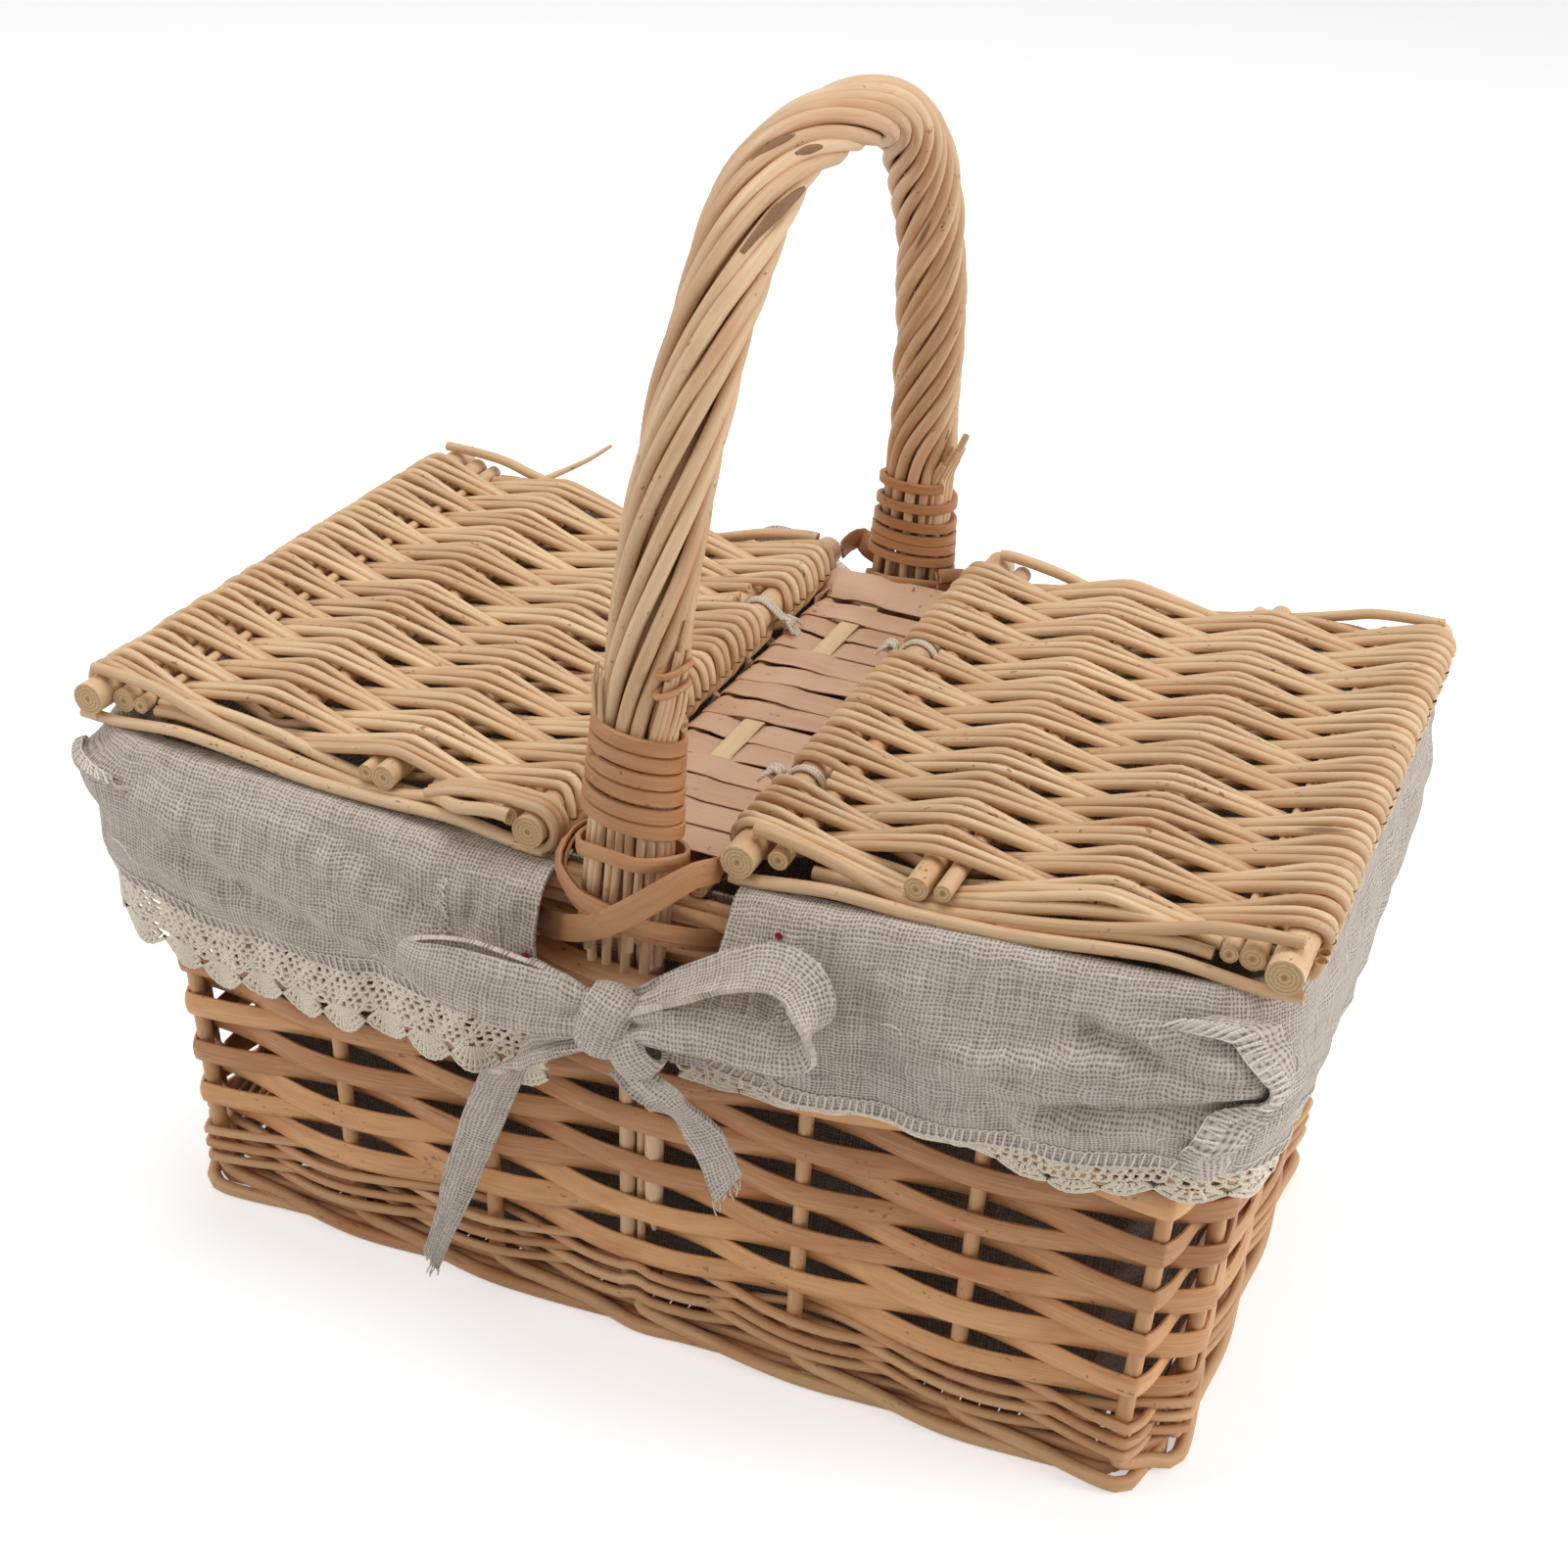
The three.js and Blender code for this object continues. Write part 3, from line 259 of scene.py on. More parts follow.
# %% Node helpers
class Graph:
    """Short calls that add nodes to one node tree and give back what they put out."""

    def __init__(self, tree):
        self.tree = tree

    def link(self, source, target):
        self.tree.links.new(source, target)

    def node(self, kind, feed=(), **settings):
        made = self.tree.nodes.new(kind)
        for key, value in settings.items():
            setattr(made, key, value)
        for key, value in dict(feed).items():
            if isinstance(value, bpy.types.NodeSocket):
                self.link(value, made.inputs[key])
            else:
                made.inputs[key].default_value = value
        return made

    def calc(self, operation, a, b=0.0):
        return self.node("ShaderNodeMath", {0: a, 1: b}, operation=operation).outputs[0]

    def add(self, a, b):
        return self.calc("ADD", a, b)

    def times(self, a, b):
        return self.calc("MULTIPLY", a, b)

    def minus(self, a, b):
        return self.calc("SUBTRACT", a, b)

    def larger(self, a, b):
        return self.calc("MAXIMUM", a, b)

    def mixed(self, factor, a, b):
        return self.node("ShaderNodeMix", {0: factor, 6: a, 7: b}, data_type="RGBA").outputs[2]

    def between(self, value, low, high, to_low=0.0, to_high=1.0):
        feed = {"Value": value, "From Min": low, "From Max": high, "To Min": to_low, "To Max": to_high}
        return self.node("ShaderNodeMapRange", feed).outputs[0]

    def map_parts(self):
        uv = self.node("ShaderNodeUVMap", uv_map="UVMap").outputs[0]
        parts = self.node("ShaderNodeSeparateXYZ", {0: uv}).outputs
        return parts[0], parts[1]

    def tone(self):
        return self.node("ShaderNodeAttribute", attribute_name="tone").outputs["Fac"]

    def stretched(self, place, u_scale, v_scale):
        """The map's two parts stretched, with a third number that sets pieces apart."""
        u, v, w = place
        feed = {0: self.times(u, u_scale), 1: self.times(v, v_scale), 2: w}
        return self.node("ShaderNodeCombineXYZ", feed).outputs[0]

    def noise(self, place, u_scale, v_scale, detail=2.0, roughness=0.5):
        vector = self.stretched(place, u_scale, v_scale)
        feed = {"Vector": vector, "Scale": 1.0, "Detail": detail, "Roughness": roughness}
        return self.node("ShaderNodeTexNoise", feed).outputs[0]

    def dress(self, shader, paint, roughness, relief, strength, distance):
        """Gives a shader its colour, its roughness and a fine relief."""
        bump = self.node("ShaderNodeBump", {"Height": relief, "Strength": strength, "Distance": distance})
        for key, value in (("Base Color", paint), ("Roughness", roughness), ("Normal", bump.outputs[0])):
            self.link(value, shader.inputs[key])


# %% Colours, groups and materials
def colour(r, g, b):
    """A colour as a picture shows it, 0 to 255, turned to linear light."""
    return tuple(((c / 255 + 0.055) / 1.055) ** 2.4 for c in (r, g, b)) + (1.0,)


def new_group(name, inputs, outputs):
    tree = bpy.data.node_groups.new(name, "ShaderNodeTree")
    for label, start in inputs:
        socket = tree.interface.new_socket(label, in_out="INPUT", socket_type="NodeSocketFloat")
        socket.default_value = start
    for label in outputs:
        tree.interface.new_socket(label, in_out="OUTPUT", socket_type="NodeSocketFloat")
    graph = Graph(tree)
    return graph, graph.node("NodeGroupInput").outputs, graph.node("NodeGroupOutput").inputs


def new_material(name):
    material = bpy.data.materials.new(name)
    material.use_nodes = True
    return material, Graph(material.node_tree), material.node_tree.nodes["Principled BSDF"]


print("honey in linear light:", [round(part, 3) for part in colour(230, 198, 156)[:3]])

# %% Fibres of willow, as a group
FIBRE_PARTS = ["Fibre", "Blotch", "Fleck", "Height"]
fibres, given, put_out = new_group("willow_fibre", [("Tone", 0.5)], FIBRE_PARTS)
place = (*fibres.map_parts(), fibres.times(given["Tone"], 61.0))
fibre = fibres.noise(place, 70, 1700, 4.0, 0.6)
blotch = fibres.noise(place, 26, 120)
dots = fibres.between(fibres.noise(place, 330, 620, 1.0), 0.66, 0.74)
patch = fibres.between(fibres.noise(place, 40, 60, 0.0), 0.5, 0.66)
feed = {"Vector": fibres.stretched(place, 11, 90), "Scale": 1.0}
cell = fibres.node("ShaderNodeTexVoronoi", feed).outputs["Distance"]
bud = fibres.between(cell, 0.05, 0.1, 1.0, 0.0)
marks = fibres.larger(fibres.times(dots, patch), bud)
height = fibres.minus(fibre, fibres.times(marks, 0.5))
for label, value in zip(FIBRE_PARTS, (fibre, blotch, marks, height)):
    fibres.link(value, put_out[label])
print("willow_fibre:", len(fibres.tree.nodes), "nodes")

# %% Willow finishes
DARK_FLECK = colour(96, 56, 30)


def willow(name, pale, deep, warm, rough=0.45):
    """A willow finish from its palest and deepest wood and the warm stain of its blotches."""
    material, graph, shader = new_material(name)
    tone = graph.tone()
    made = graph.node("ShaderNodeGroup", node_tree=fibres.tree)
    graph.link(tone, made.inputs["Tone"])
    fibre, blotch, fleck, height = (made.outputs[part] for part in FIBRE_PARTS)
    shade = graph.add(graph.times(tone, 0.62), graph.times(fibre, 0.75))
    wood = graph.mixed(graph.between(shade, 0.1, 1.0), colour(*deep), colour(*pale))
    stained = graph.mixed(graph.between(blotch, 0.52, 0.78, 0.0, 0.65), wood, colour(*warm))
    paint = graph.mixed(graph.times(fleck, 0.7), stained, DARK_FLECK)
    satin = graph.between(fibre, 0.2, 0.8, rough + 0.12, rough - 0.08)
    graph.dress(shader, paint, satin, height, 0.35, 0.0004)
    return material


peeled = willow("peeled_willow", (230, 198, 156), (192, 148, 104), (208, 152, 106))
wall_strip = willow("split_willow", (230, 174, 118), (132, 72, 30), (174, 94, 46), 0.43)
wall_rod = willow("stake_willow", (222, 178, 130), (186, 130, 84), (190, 118, 72), 0.48)
handle_rod = willow("handle_willow", (228, 194, 154), (190, 146, 104), (198, 140, 96))
skein = willow("shaved_skein", (222, 182, 150), (200, 155, 121), (195, 139, 106), 0.52)
bound = willow("bound_willow", (200, 145, 97), (140, 86, 46), (156, 92, 48), 0.46)
pale_slat = willow("pale_slat", (232, 204, 158), (212, 176, 124), (214, 172, 118), 0.5)
bark = willow("left_bark", (158, 116, 78), (98, 68, 46), (84, 56, 38), 0.7)
print("willow finishes:", [material.name for material in bpy.data.materials])

# %% Cut ends with rings and pith
cut_end, graph, shader = new_material("cut_willow")
u, v = graph.map_parts()
radius = graph.calc("SQRT", graph.add(graph.times(u, u), graph.times(v, v)))
rings = graph.calc("SINE", graph.times(radius, 5200.0))
saw = graph.noise((u, v, graph.tone()), 900, 2600, 3.0)
ringed = graph.between(graph.add(graph.times(rings, 0.22), saw), 0.2, 0.9)
face = graph.mixed(ringed, colour(186, 148, 104), colour(226, 196, 150))
pith = graph.between(radius, 0.0005, 0.0009, 0.75, 0.0)
face = graph.mixed(pith, face, colour(132, 92, 58))
graph.dress(shader, face, graph.between(saw, 0.2, 0.8, 0.7, 0.85), saw, 0.4, 0.0004)
print(cut_end.name, "has", len(graph.tree.nodes), "nodes")

# %% Threads of a plain weave, as a group
THREAD = 0.00135
CLOTH_PARTS = ["Hole", "SlubAndShade", "Height"]
threads, given, put_out = new_group("linen_weave", [("Pitch", THREAD)], CLOTH_PARTS)
u, v = threads.map_parts()
lift = threads.noise((u, v, 3.0), 110, 110, 3.0)
waver = threads.times(threads.minus(lift, 0.5), 0.0034)
across, down = (threads.calc("DIVIDE", threads.add(way, waver), given["Pitch"]) for way in (u, v))
warp, weft = (
    threads.calc("ABSOLUTE", threads.calc("SINE", threads.times(count, math.pi)))
    for count in (across, down)
)
half_step = threads.add(threads.calc("FLOOR", across), threads.calc("FLOOR", down))
over = threads.calc("PINGPONG", half_step, 1.0)
under = threads.minus(1.0, over)
rise = threads.add(threads.times(warp, over), threads.times(weft, under))
warp_tone = threads.noise((across, v, 5.0), 0.9, 45, 1.0)
weft_tone = threads.noise((u, down, 9.0), 45, 0.9, 1.0)
fat_warp, fat_weft = (
    threads.times(thread, threads.between(tone, 0.3, 0.7, 0.7, 1.4))
    for thread, tone in ((warp, warp_tone), (weft, weft_tone))
)
covered = threads.larger(fat_warp, fat_weft)
hole = threads.between(covered, 0.45, 0.82, 1.0, 0.0)
even_slub = threads.times(threads.add(warp_tone, weft_tone), 0.5)
# Each thread's own tone, lighter on the raised crowns of the threads and darker where they dip: painted shade
# of the weave's relief.
slub_and_shade = threads.add(even_slub, threads.times(threads.minus(rise, 0.6), 0.28))
height = threads.add(threads.times(rise, 0.9), covered)
for label, value in zip(CLOTH_PARTS, (hole, slub_and_shade, height)):
    threads.link(value, put_out[label])
print("linen_weave:", len(threads.tree.nodes), "nodes")


# %% Linen
def set_inputs(shader, values):
    for key, value in values.items():
        shader.inputs[key].default_value = value


def linen(name, pale, deep, hole, painted_shade=0.0):
    """Linen from its palest and deepest thread and its gaps. The last number paints shade, in the colour of
    the gaps, on its side that looks outward.
    """
    material, graph, shader = new_material(name)
    made = graph.node("ShaderNodeGroup", node_tree=threads.tree).outputs
    thread = graph.mixed(graph.between(made["SlubAndShade"], 0.22, 0.72), colour(*deep), colour(*pale))
    cloth = graph.mixed(graph.times(made["Hole"], 0.58), thread, colour(*hole))
    if painted_shade:
        # Painted shade: the side that looks outward is darkened towards the colour of the gaps, as if in the
        # wall's shadow.
        where = graph.node("ShaderNodeNewGeometry").outputs
        feed = {0: where["Position"], 1: where["Normal"]}
        facing = graph.node("ShaderNodeVectorMath", feed, operation="DOT_PRODUCT").outputs["Value"]
        cloth = graph.mixed(graph.between(facing, 0.02, 0.07, 0.0, painted_shade), cloth, colour(*hole))
    dull = graph.between(made["Height"], 0.3, 1.6, 0.95, 0.8)
    graph.dress(shader, cloth, dull, made["Height"], 0.6, 0.0006)
    set_inputs(shader, {"Sheen Weight": 0.25, "Sheen Roughness": 0.6, "Specular IOR Level": 0.2})
    return material


liner_cloth = linen("liner_linen", (226, 214, 202), (182, 167, 153), (84, 68, 54))
# A darker copy of the liner's linen, with painted shade on its outward side, so the bag looks shaded behind
# the wall.
shaded_bag_cloth = linen("shaded_bag_linen", (198, 183, 167), (150, 134, 119), (56, 40, 30), 0.35)
print("cloth:", liner_cloth.name, shaded_bag_cloth.name)


# %% Yarn and thread
def yarn(name, pale, deep):
    """A twisted, slightly fuzzy yarn from its palest and deepest colour."""
    material, graph, shader = new_material(name)
    u, v = graph.map_parts()
    turns = graph.calc("SINE", graph.add(graph.times(u, 5200.0), graph.times(v, 2600.0)))
    fuzz = graph.noise((u, v, graph.tone()), 1500, 2500, 3.0)
    strand = graph.add(graph.times(turns, 0.2), fuzz)
    paint = graph.mixed(graph.between(strand, 0.25, 0.85), colour(*deep), colour(*pale))
    graph.dress(shader, paint, graph.between(fuzz, 0.2, 0.8, 0.95, 0.8), strand, 0.5, 0.0003)
    set_inputs(shader, {"Sheen Weight": 0.2, "Specular IOR Level": 0.2})
    return material


lace_yarn = yarn("crochet_cotton", (252, 243, 226), (228, 214, 190))
tie_string = yarn("tie_string", (238, 228, 212), (206, 190, 168))
white_thread = yarn("white_thread", (248, 242, 232), (224, 215, 202))
red_thread = yarn("red_thread", (176, 26, 34), (120, 12, 20))
print("finishes:", len(bpy.data.materials))

# %% [markdown]
# ## The body's outline and its stakes
# The body is a box with cut corners that widens to the rim. Upright stakes stand along its wall, and
# every row is told by two numbers: how far round it is, counted in stakes, and how far out from the
# stakes' own line. One function turns those into a place, so all the rows share one wall.

# %% Corners of the body
RIM_Z = 188
FOOT_X, FOOT_Y, FLARE_X, FLARE_Y, CUT_X, CUT_Y = 190, 112, 8, 10, 16, 23


def wall_y(z):
    """Half the body's depth at a height."""
    return FOOT_Y + FLARE_Y * z / RIM_Z


def corners(z, depth):
    """The eight corners of the body at a height, anticlockwise, moved in by a depth."""
    a, b = FOOT_X + FLARE_X * z / RIM_Z, wall_y(z)
    quarter = [(a - CUT_X, -b), (a, -b + CUT_Y)]
    half = quarter + [(x, -y) for x, y in reversed(quarter)]
    ring = np.array(half + [(-x, -y) for x, y in half])
    before, after = unit(ring - np.roll(ring, 1, 0)), unit(np.roll(ring, -1, 0) - ring)
    out = unit(np.stack([before[:, 1] + after[:, 1], -before[:, 0] - after[:, 0]], 1))
    reach = out[:, 0] * before[:, 1] - out[:, 1] * before[:, 0]
    return ring - out * (depth / reach)[:, None]


print("rim:", np.ptp(corners(RIM_Z, 0), axis=0), "mm")

# %% Stakes round the wall
STAKE_DEPTH, CORE_REACH = 5.25, 5.25


def stake_ring(z):
    """Stake places at a height, anticlockwise from the front left. The handle's core counts as two."""
    ring = corners(z, STAKE_DEPTH)
    stakes = []
    for start, end, bays, core in ((7, 0, 6, CORE_REACH), (1, 2, 3, 0), (3, 4, 6, -CORE_REACH), (5, 6, 3, 0)):
        for i in range(bays + 1):
            p = ring[start] + (ring[end] - ring[start]) * i / bays
            stakes += [p - (core, 0), p + (core, 0)] if core and 2 * i == bays else [p]
    return np.array(stakes)


LOW, HIGH = stake_ring(0), stake_ring(RIM_Z)
STAKES = len(LOW)
CORES = (3, 15)
tangent = unit(np.roll(LOW, -1, 0) - LOW)
OUT_BAY = np.stack([tangent[:, 1], -tangent[:, 0]], 1)
OUT_STAKE = unit(OUT_BAY + np.roll(OUT_BAY, 1, 0))
MITRE = OUT_STAKE / (OUT_STAKE * OUT_BAY).sum(1, keepdims=True)
SIDE = []
for index in range(STAKES):
    SIDE.append(1 if not SIDE else SIDE[-1] if index - 1 in CORES else -SIDE[-1])
SIDE = np.array(SIDE)
print("stakes round the wall:", STAKES - len(CORES))


# %% Places on the wall
def wall_place(s, z, out):
    """Place on the wall at s stakes round, height z and out from the stakes' line, and the way outward."""
    s, z, out = np.broadcast_arrays(np.asarray(s, float), np.asarray(z, float), np.asarray(out, float))
    i = np.floor(s).astype(int)
    t = (s - i)[..., None]
    i, j = i % STAKES, (i + 1) % STAKES
    share = (z / RIM_Z)[..., None]
    low, high = LOW[i] * (1 - t) + LOW[j] * t, HIGH[i] * (1 - t) + HIGH[j] * t
    n = MITRE[i] * (1 - t) + MITRE[j] * t
    flat = low * (1 - share) + high * share + n * out[..., None]
    return np.concatenate([flat, z[..., None]], -1), np.concatenate([n, np.zeros_like(share)], -1)


print("first stake at half height:", wall_place(0, RIM_Z / 2, 0)[0].round(1))

# %% [markdown]
# ## Split strips of the wall
# The wall is woven of willow split in half. A strip goes before one stake and behind the next, and the
# row above does the opposite. Each strip keeps its own height and tone, and its ends are cut behind a
# stake, as a weaver hides them.

# %% Rows and their hidden ends
SIDING_FLOOR, SIDING_PITCH, SIDING_ROWS, SIDING_REACH = 32.55, 9.547, 15, 4.15
STRIP_HALF, STRIP_LEAST, STRIP_MOST, STRIP_THICK, STRIP_LEAN = 4.75, 4.1, 5.0, 1.1, 0.05
ROW_PARTS, END_GAP = 3, 0.02


def weave_out(s, parity, reach):
    """How far out a row is, outside at one stake and inside at the next."""
    i = np.floor(s).astype(int)
    a, b = SIDE[i % STAKES] * parity, SIDE[(i + 1) % STAKES] * parity
    return reach * (a + (b - a) * ease(s - i))


def hidden_ends(parity):
    """Stakes where a row passes inside, spread round the wall, for its strips' ends."""
    inside = np.flatnonzero(SIDE * parity < 0)
    first = rng.integers(len(inside))
    turns = range(ROW_PARTS)
    picks = sorted(inside[(first + k * len(inside) // ROW_PARTS) % len(inside)] for k in turns)
    return list(zip(picks, picks[1:] + [picks[0] + STAKES]))


def row_stops(start, end, per_bay):
    """Counts along a row, with one exactly at every stake."""
    even = np.linspace(start + END_GAP, end - END_GAP, per_bay * (end - start))
    return np.unique(np.concatenate([even, np.arange(start + 1, end)]))


print("siding from", SIDING_FLOOR, "to", round(SIDING_FLOOR + SIDING_ROWS * SIDING_PITCH, 1), "mm up")

# %% Strips
strips = Bundle(wall_strip, cut_end)
for row in range(SIDING_ROWS):
    parity = 1 if row % 2 else -1
    drift = rng.normal(0, 0.5, STAKES)
    for start, end in hidden_ends(parity):
        s = row_stops(start, end, 12)
        z = SIDING_FLOOR + (row + 0.5) * SIDING_PITCH
        z = z + np.interp(s % STAKES, np.arange(STAKES + 1), np.append(drift, drift[0]))
        path, normal = wall_place(s, z, weave_out(s, parity, SIDING_REACH))
        normal[:, 2] = wander(len(s), 0.09, 14) - STRIP_LEAN
        height = np.clip(STRIP_HALF + wander(len(s), 0.28, 12), STRIP_LEAST, STRIP_MOST)
        half = np.stack([height, np.full(len(s), STRIP_THICK)], 1)
        strips.rod(path, half, section=HALF_ROUND, up=normal)
strips.build("siding_strips", "split_willow", [f"siding_row_{i + 1:02d}" for i in range(SIDING_ROWS)])

# %% Stakes
STAKE_STOPS = 12
uprights = Bundle(wall_rod, cut_end)
for i in range(STAKES):
    if i not in (*CORES, *(c + 1 for c in CORES)):
        z = np.linspace(12, 180, STAKE_STOPS)
        path, _ = wall_place(np.full(STAKE_STOPS, float(i)), z, wander(STAKE_STOPS, 0.25))
        uprights.rod(path, np.linspace(2.95, 2.5, STAKE_STOPS))
uprights.build("wall_stakes", "willow", ["front_stakes", "right_stakes", "back_stakes", "left_stakes"])

# %% Wale of thin rods at the foot
WALE_FLOOR, WALE_PITCH, WALE_ROWS, WALE_SWAP, WALE_REACH = 16.6, 6.4, 3, 1.7, 4.6
wale = Bundle(wall_rod, cut_end)
for row in range(WALE_ROWS):
    for parity in (1, -1):
        for start, end in hidden_ends(parity):
            s = row_stops(start, end, 11)
            bay = np.floor(s).astype(int)
            swap = np.where(bay % 2 == 0, 1, -1) * parity * np.sin(np.pi * (s - bay))
            z = WALE_FLOOR + row * WALE_PITCH + WALE_SWAP * swap + wander(len(s), 0.5, 14)
            path, _ = wall_place(s, z, weave_out(s, parity, WALE_REACH))
            wale.rod(path, np.linspace(1.95, 1.55, len(s)))
wale.build("foot_wale", "willow", [f"bottom_wale_{i + 1}" for i in range(WALE_ROWS)])

# %% [markdown]
# ## Foot border, base and top border
# At the foot each stake is bent to the side, runs low in front of the next two and is tucked in, which
# gives a row of slanting loops. The base inside is a plain weave. At the top, long rods are laid round
# the rim inside and outside the stakes. All but the base are rods on the same wall places as before.

# %% Foot border
STAND = np.array([i + 0.5 if i in CORES else float(i) for i in range(STAKES) if i - 1 not in CORES])
COUNT = len(STAND)
FOOT_TURN = np.array([
    (0, 19, 0), (0, 12.5, 0.4), (0.12, 9.2, 1.6), (0.5, 7.1, 3.0), (1, 3.2, 4.1), (1.5, 2.7, 1.8),
    (1.9, 2.7, -1), (2.1, 3, -4),
])
FOOT_ROD, INSIDE_ROD, INSIDE_ROWS = 2.6, 2.4, ((3.0, -3.0), (7.6, -2.6))


def stand(k):
    """Counts by real stakes, with the handle's core as one."""
    return np.interp(k, np.arange(2 * COUNT), np.concatenate([STAND, STAND + STAKES]))


loops = Bundle(wall_rod, cut_end)
for i in range(COUNT):
    k, z, out = FOOT_TURN.T
    path, _ = wall_place(stand(i + k), z, out)
    loops.rod(smooth_line(path, 4), FOOT_ROD)
for z, out in INSIDE_ROWS:
    path, _ = wall_place(np.linspace(0, STAKES, 150), z, out)
    loops.rod(path, INSIDE_ROD, ends=False)
loops.build("foot_loops", "willow", ["foot_border"])

# %% Woven base
BASE_X, BASE_Y, BASE_Z = 178, 100, 4.0
STICKS_Y = np.linspace(-84, 84, 8)
BASE_STICK, BASE_PITCH, BASE_RISE, BASE_STRIP = 1.9, 6.8, 2.5, (3.1, 0.75)
weave = Bundle(wall_strip, cut_end)
for y in STICKS_Y:
    reach = BASE_X - max(0.0, (abs(y) - (BASE_Y - CUT_Y)) * CUT_X / CUT_Y)
    x = np.linspace(-reach, reach, 30)
    weave.rod(places(x, y, BASE_Z), BASE_STICK)
for i, x in enumerate(np.arange(-BASE_X + 4, BASE_X - 3, BASE_PITCH)):
    reach = BASE_Y - max(0.0, (abs(x) - (BASE_X - CUT_X)) * CUT_Y / CUT_X)
    y = np.linspace(-reach, reach, 60)
    phase = np.pi * (y - STICKS_Y[0]) / (STICKS_Y[1] - STICKS_Y[0])
    z = BASE_Z + (1 if i % 2 else -1) * BASE_RISE * np.cos(phase)
    weave.skein(places(x, y, z), BASE_STRIP, None, (0, 0, 1))
weave.build("base_weave", "split_willow", ["base_panel"])

# %% Top border
RIM_RODS = (
    (5.4, 178.9, 2.5, 0.5), (5.6, 184.2, 2.6, 0.5), (1.0, 185.1, 2.6, 0.6), (-2.9, 184.4, 2.5, 0.4),
    (-3.0, 179.0, 2.5, 0.4),
)
RIM_JOINS = (0, 87, 174, 260)
s = np.linspace(0, STAKES, RIM_JOINS[-1])
rim = Bundle(wall_rod, cut_end)
for out, z, radius, sway in RIM_RODS:
    turn = 2 * np.pi * s / 4 + out
    path, _ = wall_place(s, z + sway * np.sin(turn), out + 0.6 * sway * np.cos(turn))
    for a, b in zip(RIM_JOINS, RIM_JOINS[1:]):
        rim.rod(path[a : b + 1], radius)
rim.build("rim_rods", "willow", ["top_border"])

# %% [markdown]
# ## Handle
# The handle is a bundle of rods twisted round a core, bent to a tall arch. Above each foot it is bound
# with a skein, and below the binding the rods lie flat side by side on the wall. A rope-like skin over
# one tube would lose the dark gaps between the rods, so each rod runs its own helix.

# %% Arch of the handle
ARCH_POWER, ARCH_MIDDLE, ARCH_HALF, ARCH_SHIFT, ARCH_RISE = 0.74, -3.5, 122.5, 20, 206.5
turn = np.pi * np.sin(np.linspace(0, np.pi / 2, 700)) ** 2
rise = np.sin(turn).clip(0) ** ARCH_POWER
out = np.sign(np.cos(turn)) * np.abs(np.cos(turn)) ** ARCH_POWER
y = ARCH_MIDDLE - ARCH_HALF * out + ARCH_SHIFT * rise
lean = (0.6 * ease(rise * 5) + 3.2 * ease((rise - 0.84) / 0.16)) * ease((70 - y) / 110)
ARCH = places(-lean, y, RIM_Z + ARCH_RISE * rise)
ARCH_S = lengths_along(ARCH)
ARCH_LENGTH = ARCH_S[-1]
ARCH_OUT = unit(np.cross(unit(np.gradient(ARCH, axis=0)), (1, 0, 0)))
HANDLE_ROD, HANDLE_RODS, HANDLE_CORE = 2.5, 12, 6.3
FRONT_PITCH, BACK_PITCH = 235, 112


def along_arch(values, s):
    return np.stack([np.interp(s, ARCH_S, c) for c in values.T], -1)


def on_handle(s, angle, grow=0.0):
    """Place on the skin of the bundle, which is round in the arch and flat near the feet."""
    share = ease(np.minimum(s, ARCH_LENGTH - s) / 60)
    across = (13.6 - 3.0 * share + grow) * np.cos(angle)
    out = (7.2 + 1.3 * share + grow) * np.sin(angle)
    return along_arch(ARCH, s) + across[:, None] * (1, 0, 0) + along_arch(ARCH_OUT, s) * out[:, None]


def from_foot(side, s):
    """The same distance from the front foot, or from the back one where side is 1."""
    return ARCH_LENGTH - s if side else s


print("handle arch:", round(ARCH_LENGTH), "mm")

# %% Twisted rods of the handle
BORDER_FACE = 125.3
s = np.linspace(0, ARCH_LENGTH, 150)
to_foot = np.minimum(s, ARCH_LENGTH - s)
pitch = FRONT_PITCH + (BACK_PITCH - FRONT_PITCH) * ease(s / ARCH_LENGTH)
speed = ease((to_foot - 40) / 40) * 2 * np.pi / pitch
twist = np.concatenate([[0], np.cumsum((speed[1:] + speed[:-1]) / 2 * np.diff(s))])
bundle = Bundle(handle_rod, cut_end)
for k in range(HANDLE_RODS):
    angle = 2 * np.pi * (k + 0.5) / HANDLE_RODS + twist + wander(len(s), 0.07, 12)
    path = on_handle(s, angle, rng.normal(0, 0.3) + wander(len(s), 0.2, 14))
    size = HANDLE_ROD * rng.uniform(0.92, 1.1) * (0.66 + 0.34 * ease((to_foot - 20) / 40))
    for end, front in ((0, -1), (-1, 1)):
        if math.sin(angle[end]) < 0.1:
            foot = path[end]
            z = RIM_Z - np.array((8, 18 + 6 * rng.random()))
            y = front * np.maximum(np.abs(foot[1]), BORDER_FACE + HANDLE_ROD + 0.3)
            tail = places(foot[0] * np.array((0.98, 0.92)), y, z)
            path = np.vstack([tail[::-1], path]) if end == 0 else np.vstack([path, tail])
            size = np.concatenate([size[[0, 0]], size] if end == 0 else [size, size[[-1, -1]]])
    bundle.rod(path, size)
print("turns of the twist:", round(twist[-1] / (2 * np.pi), 2))

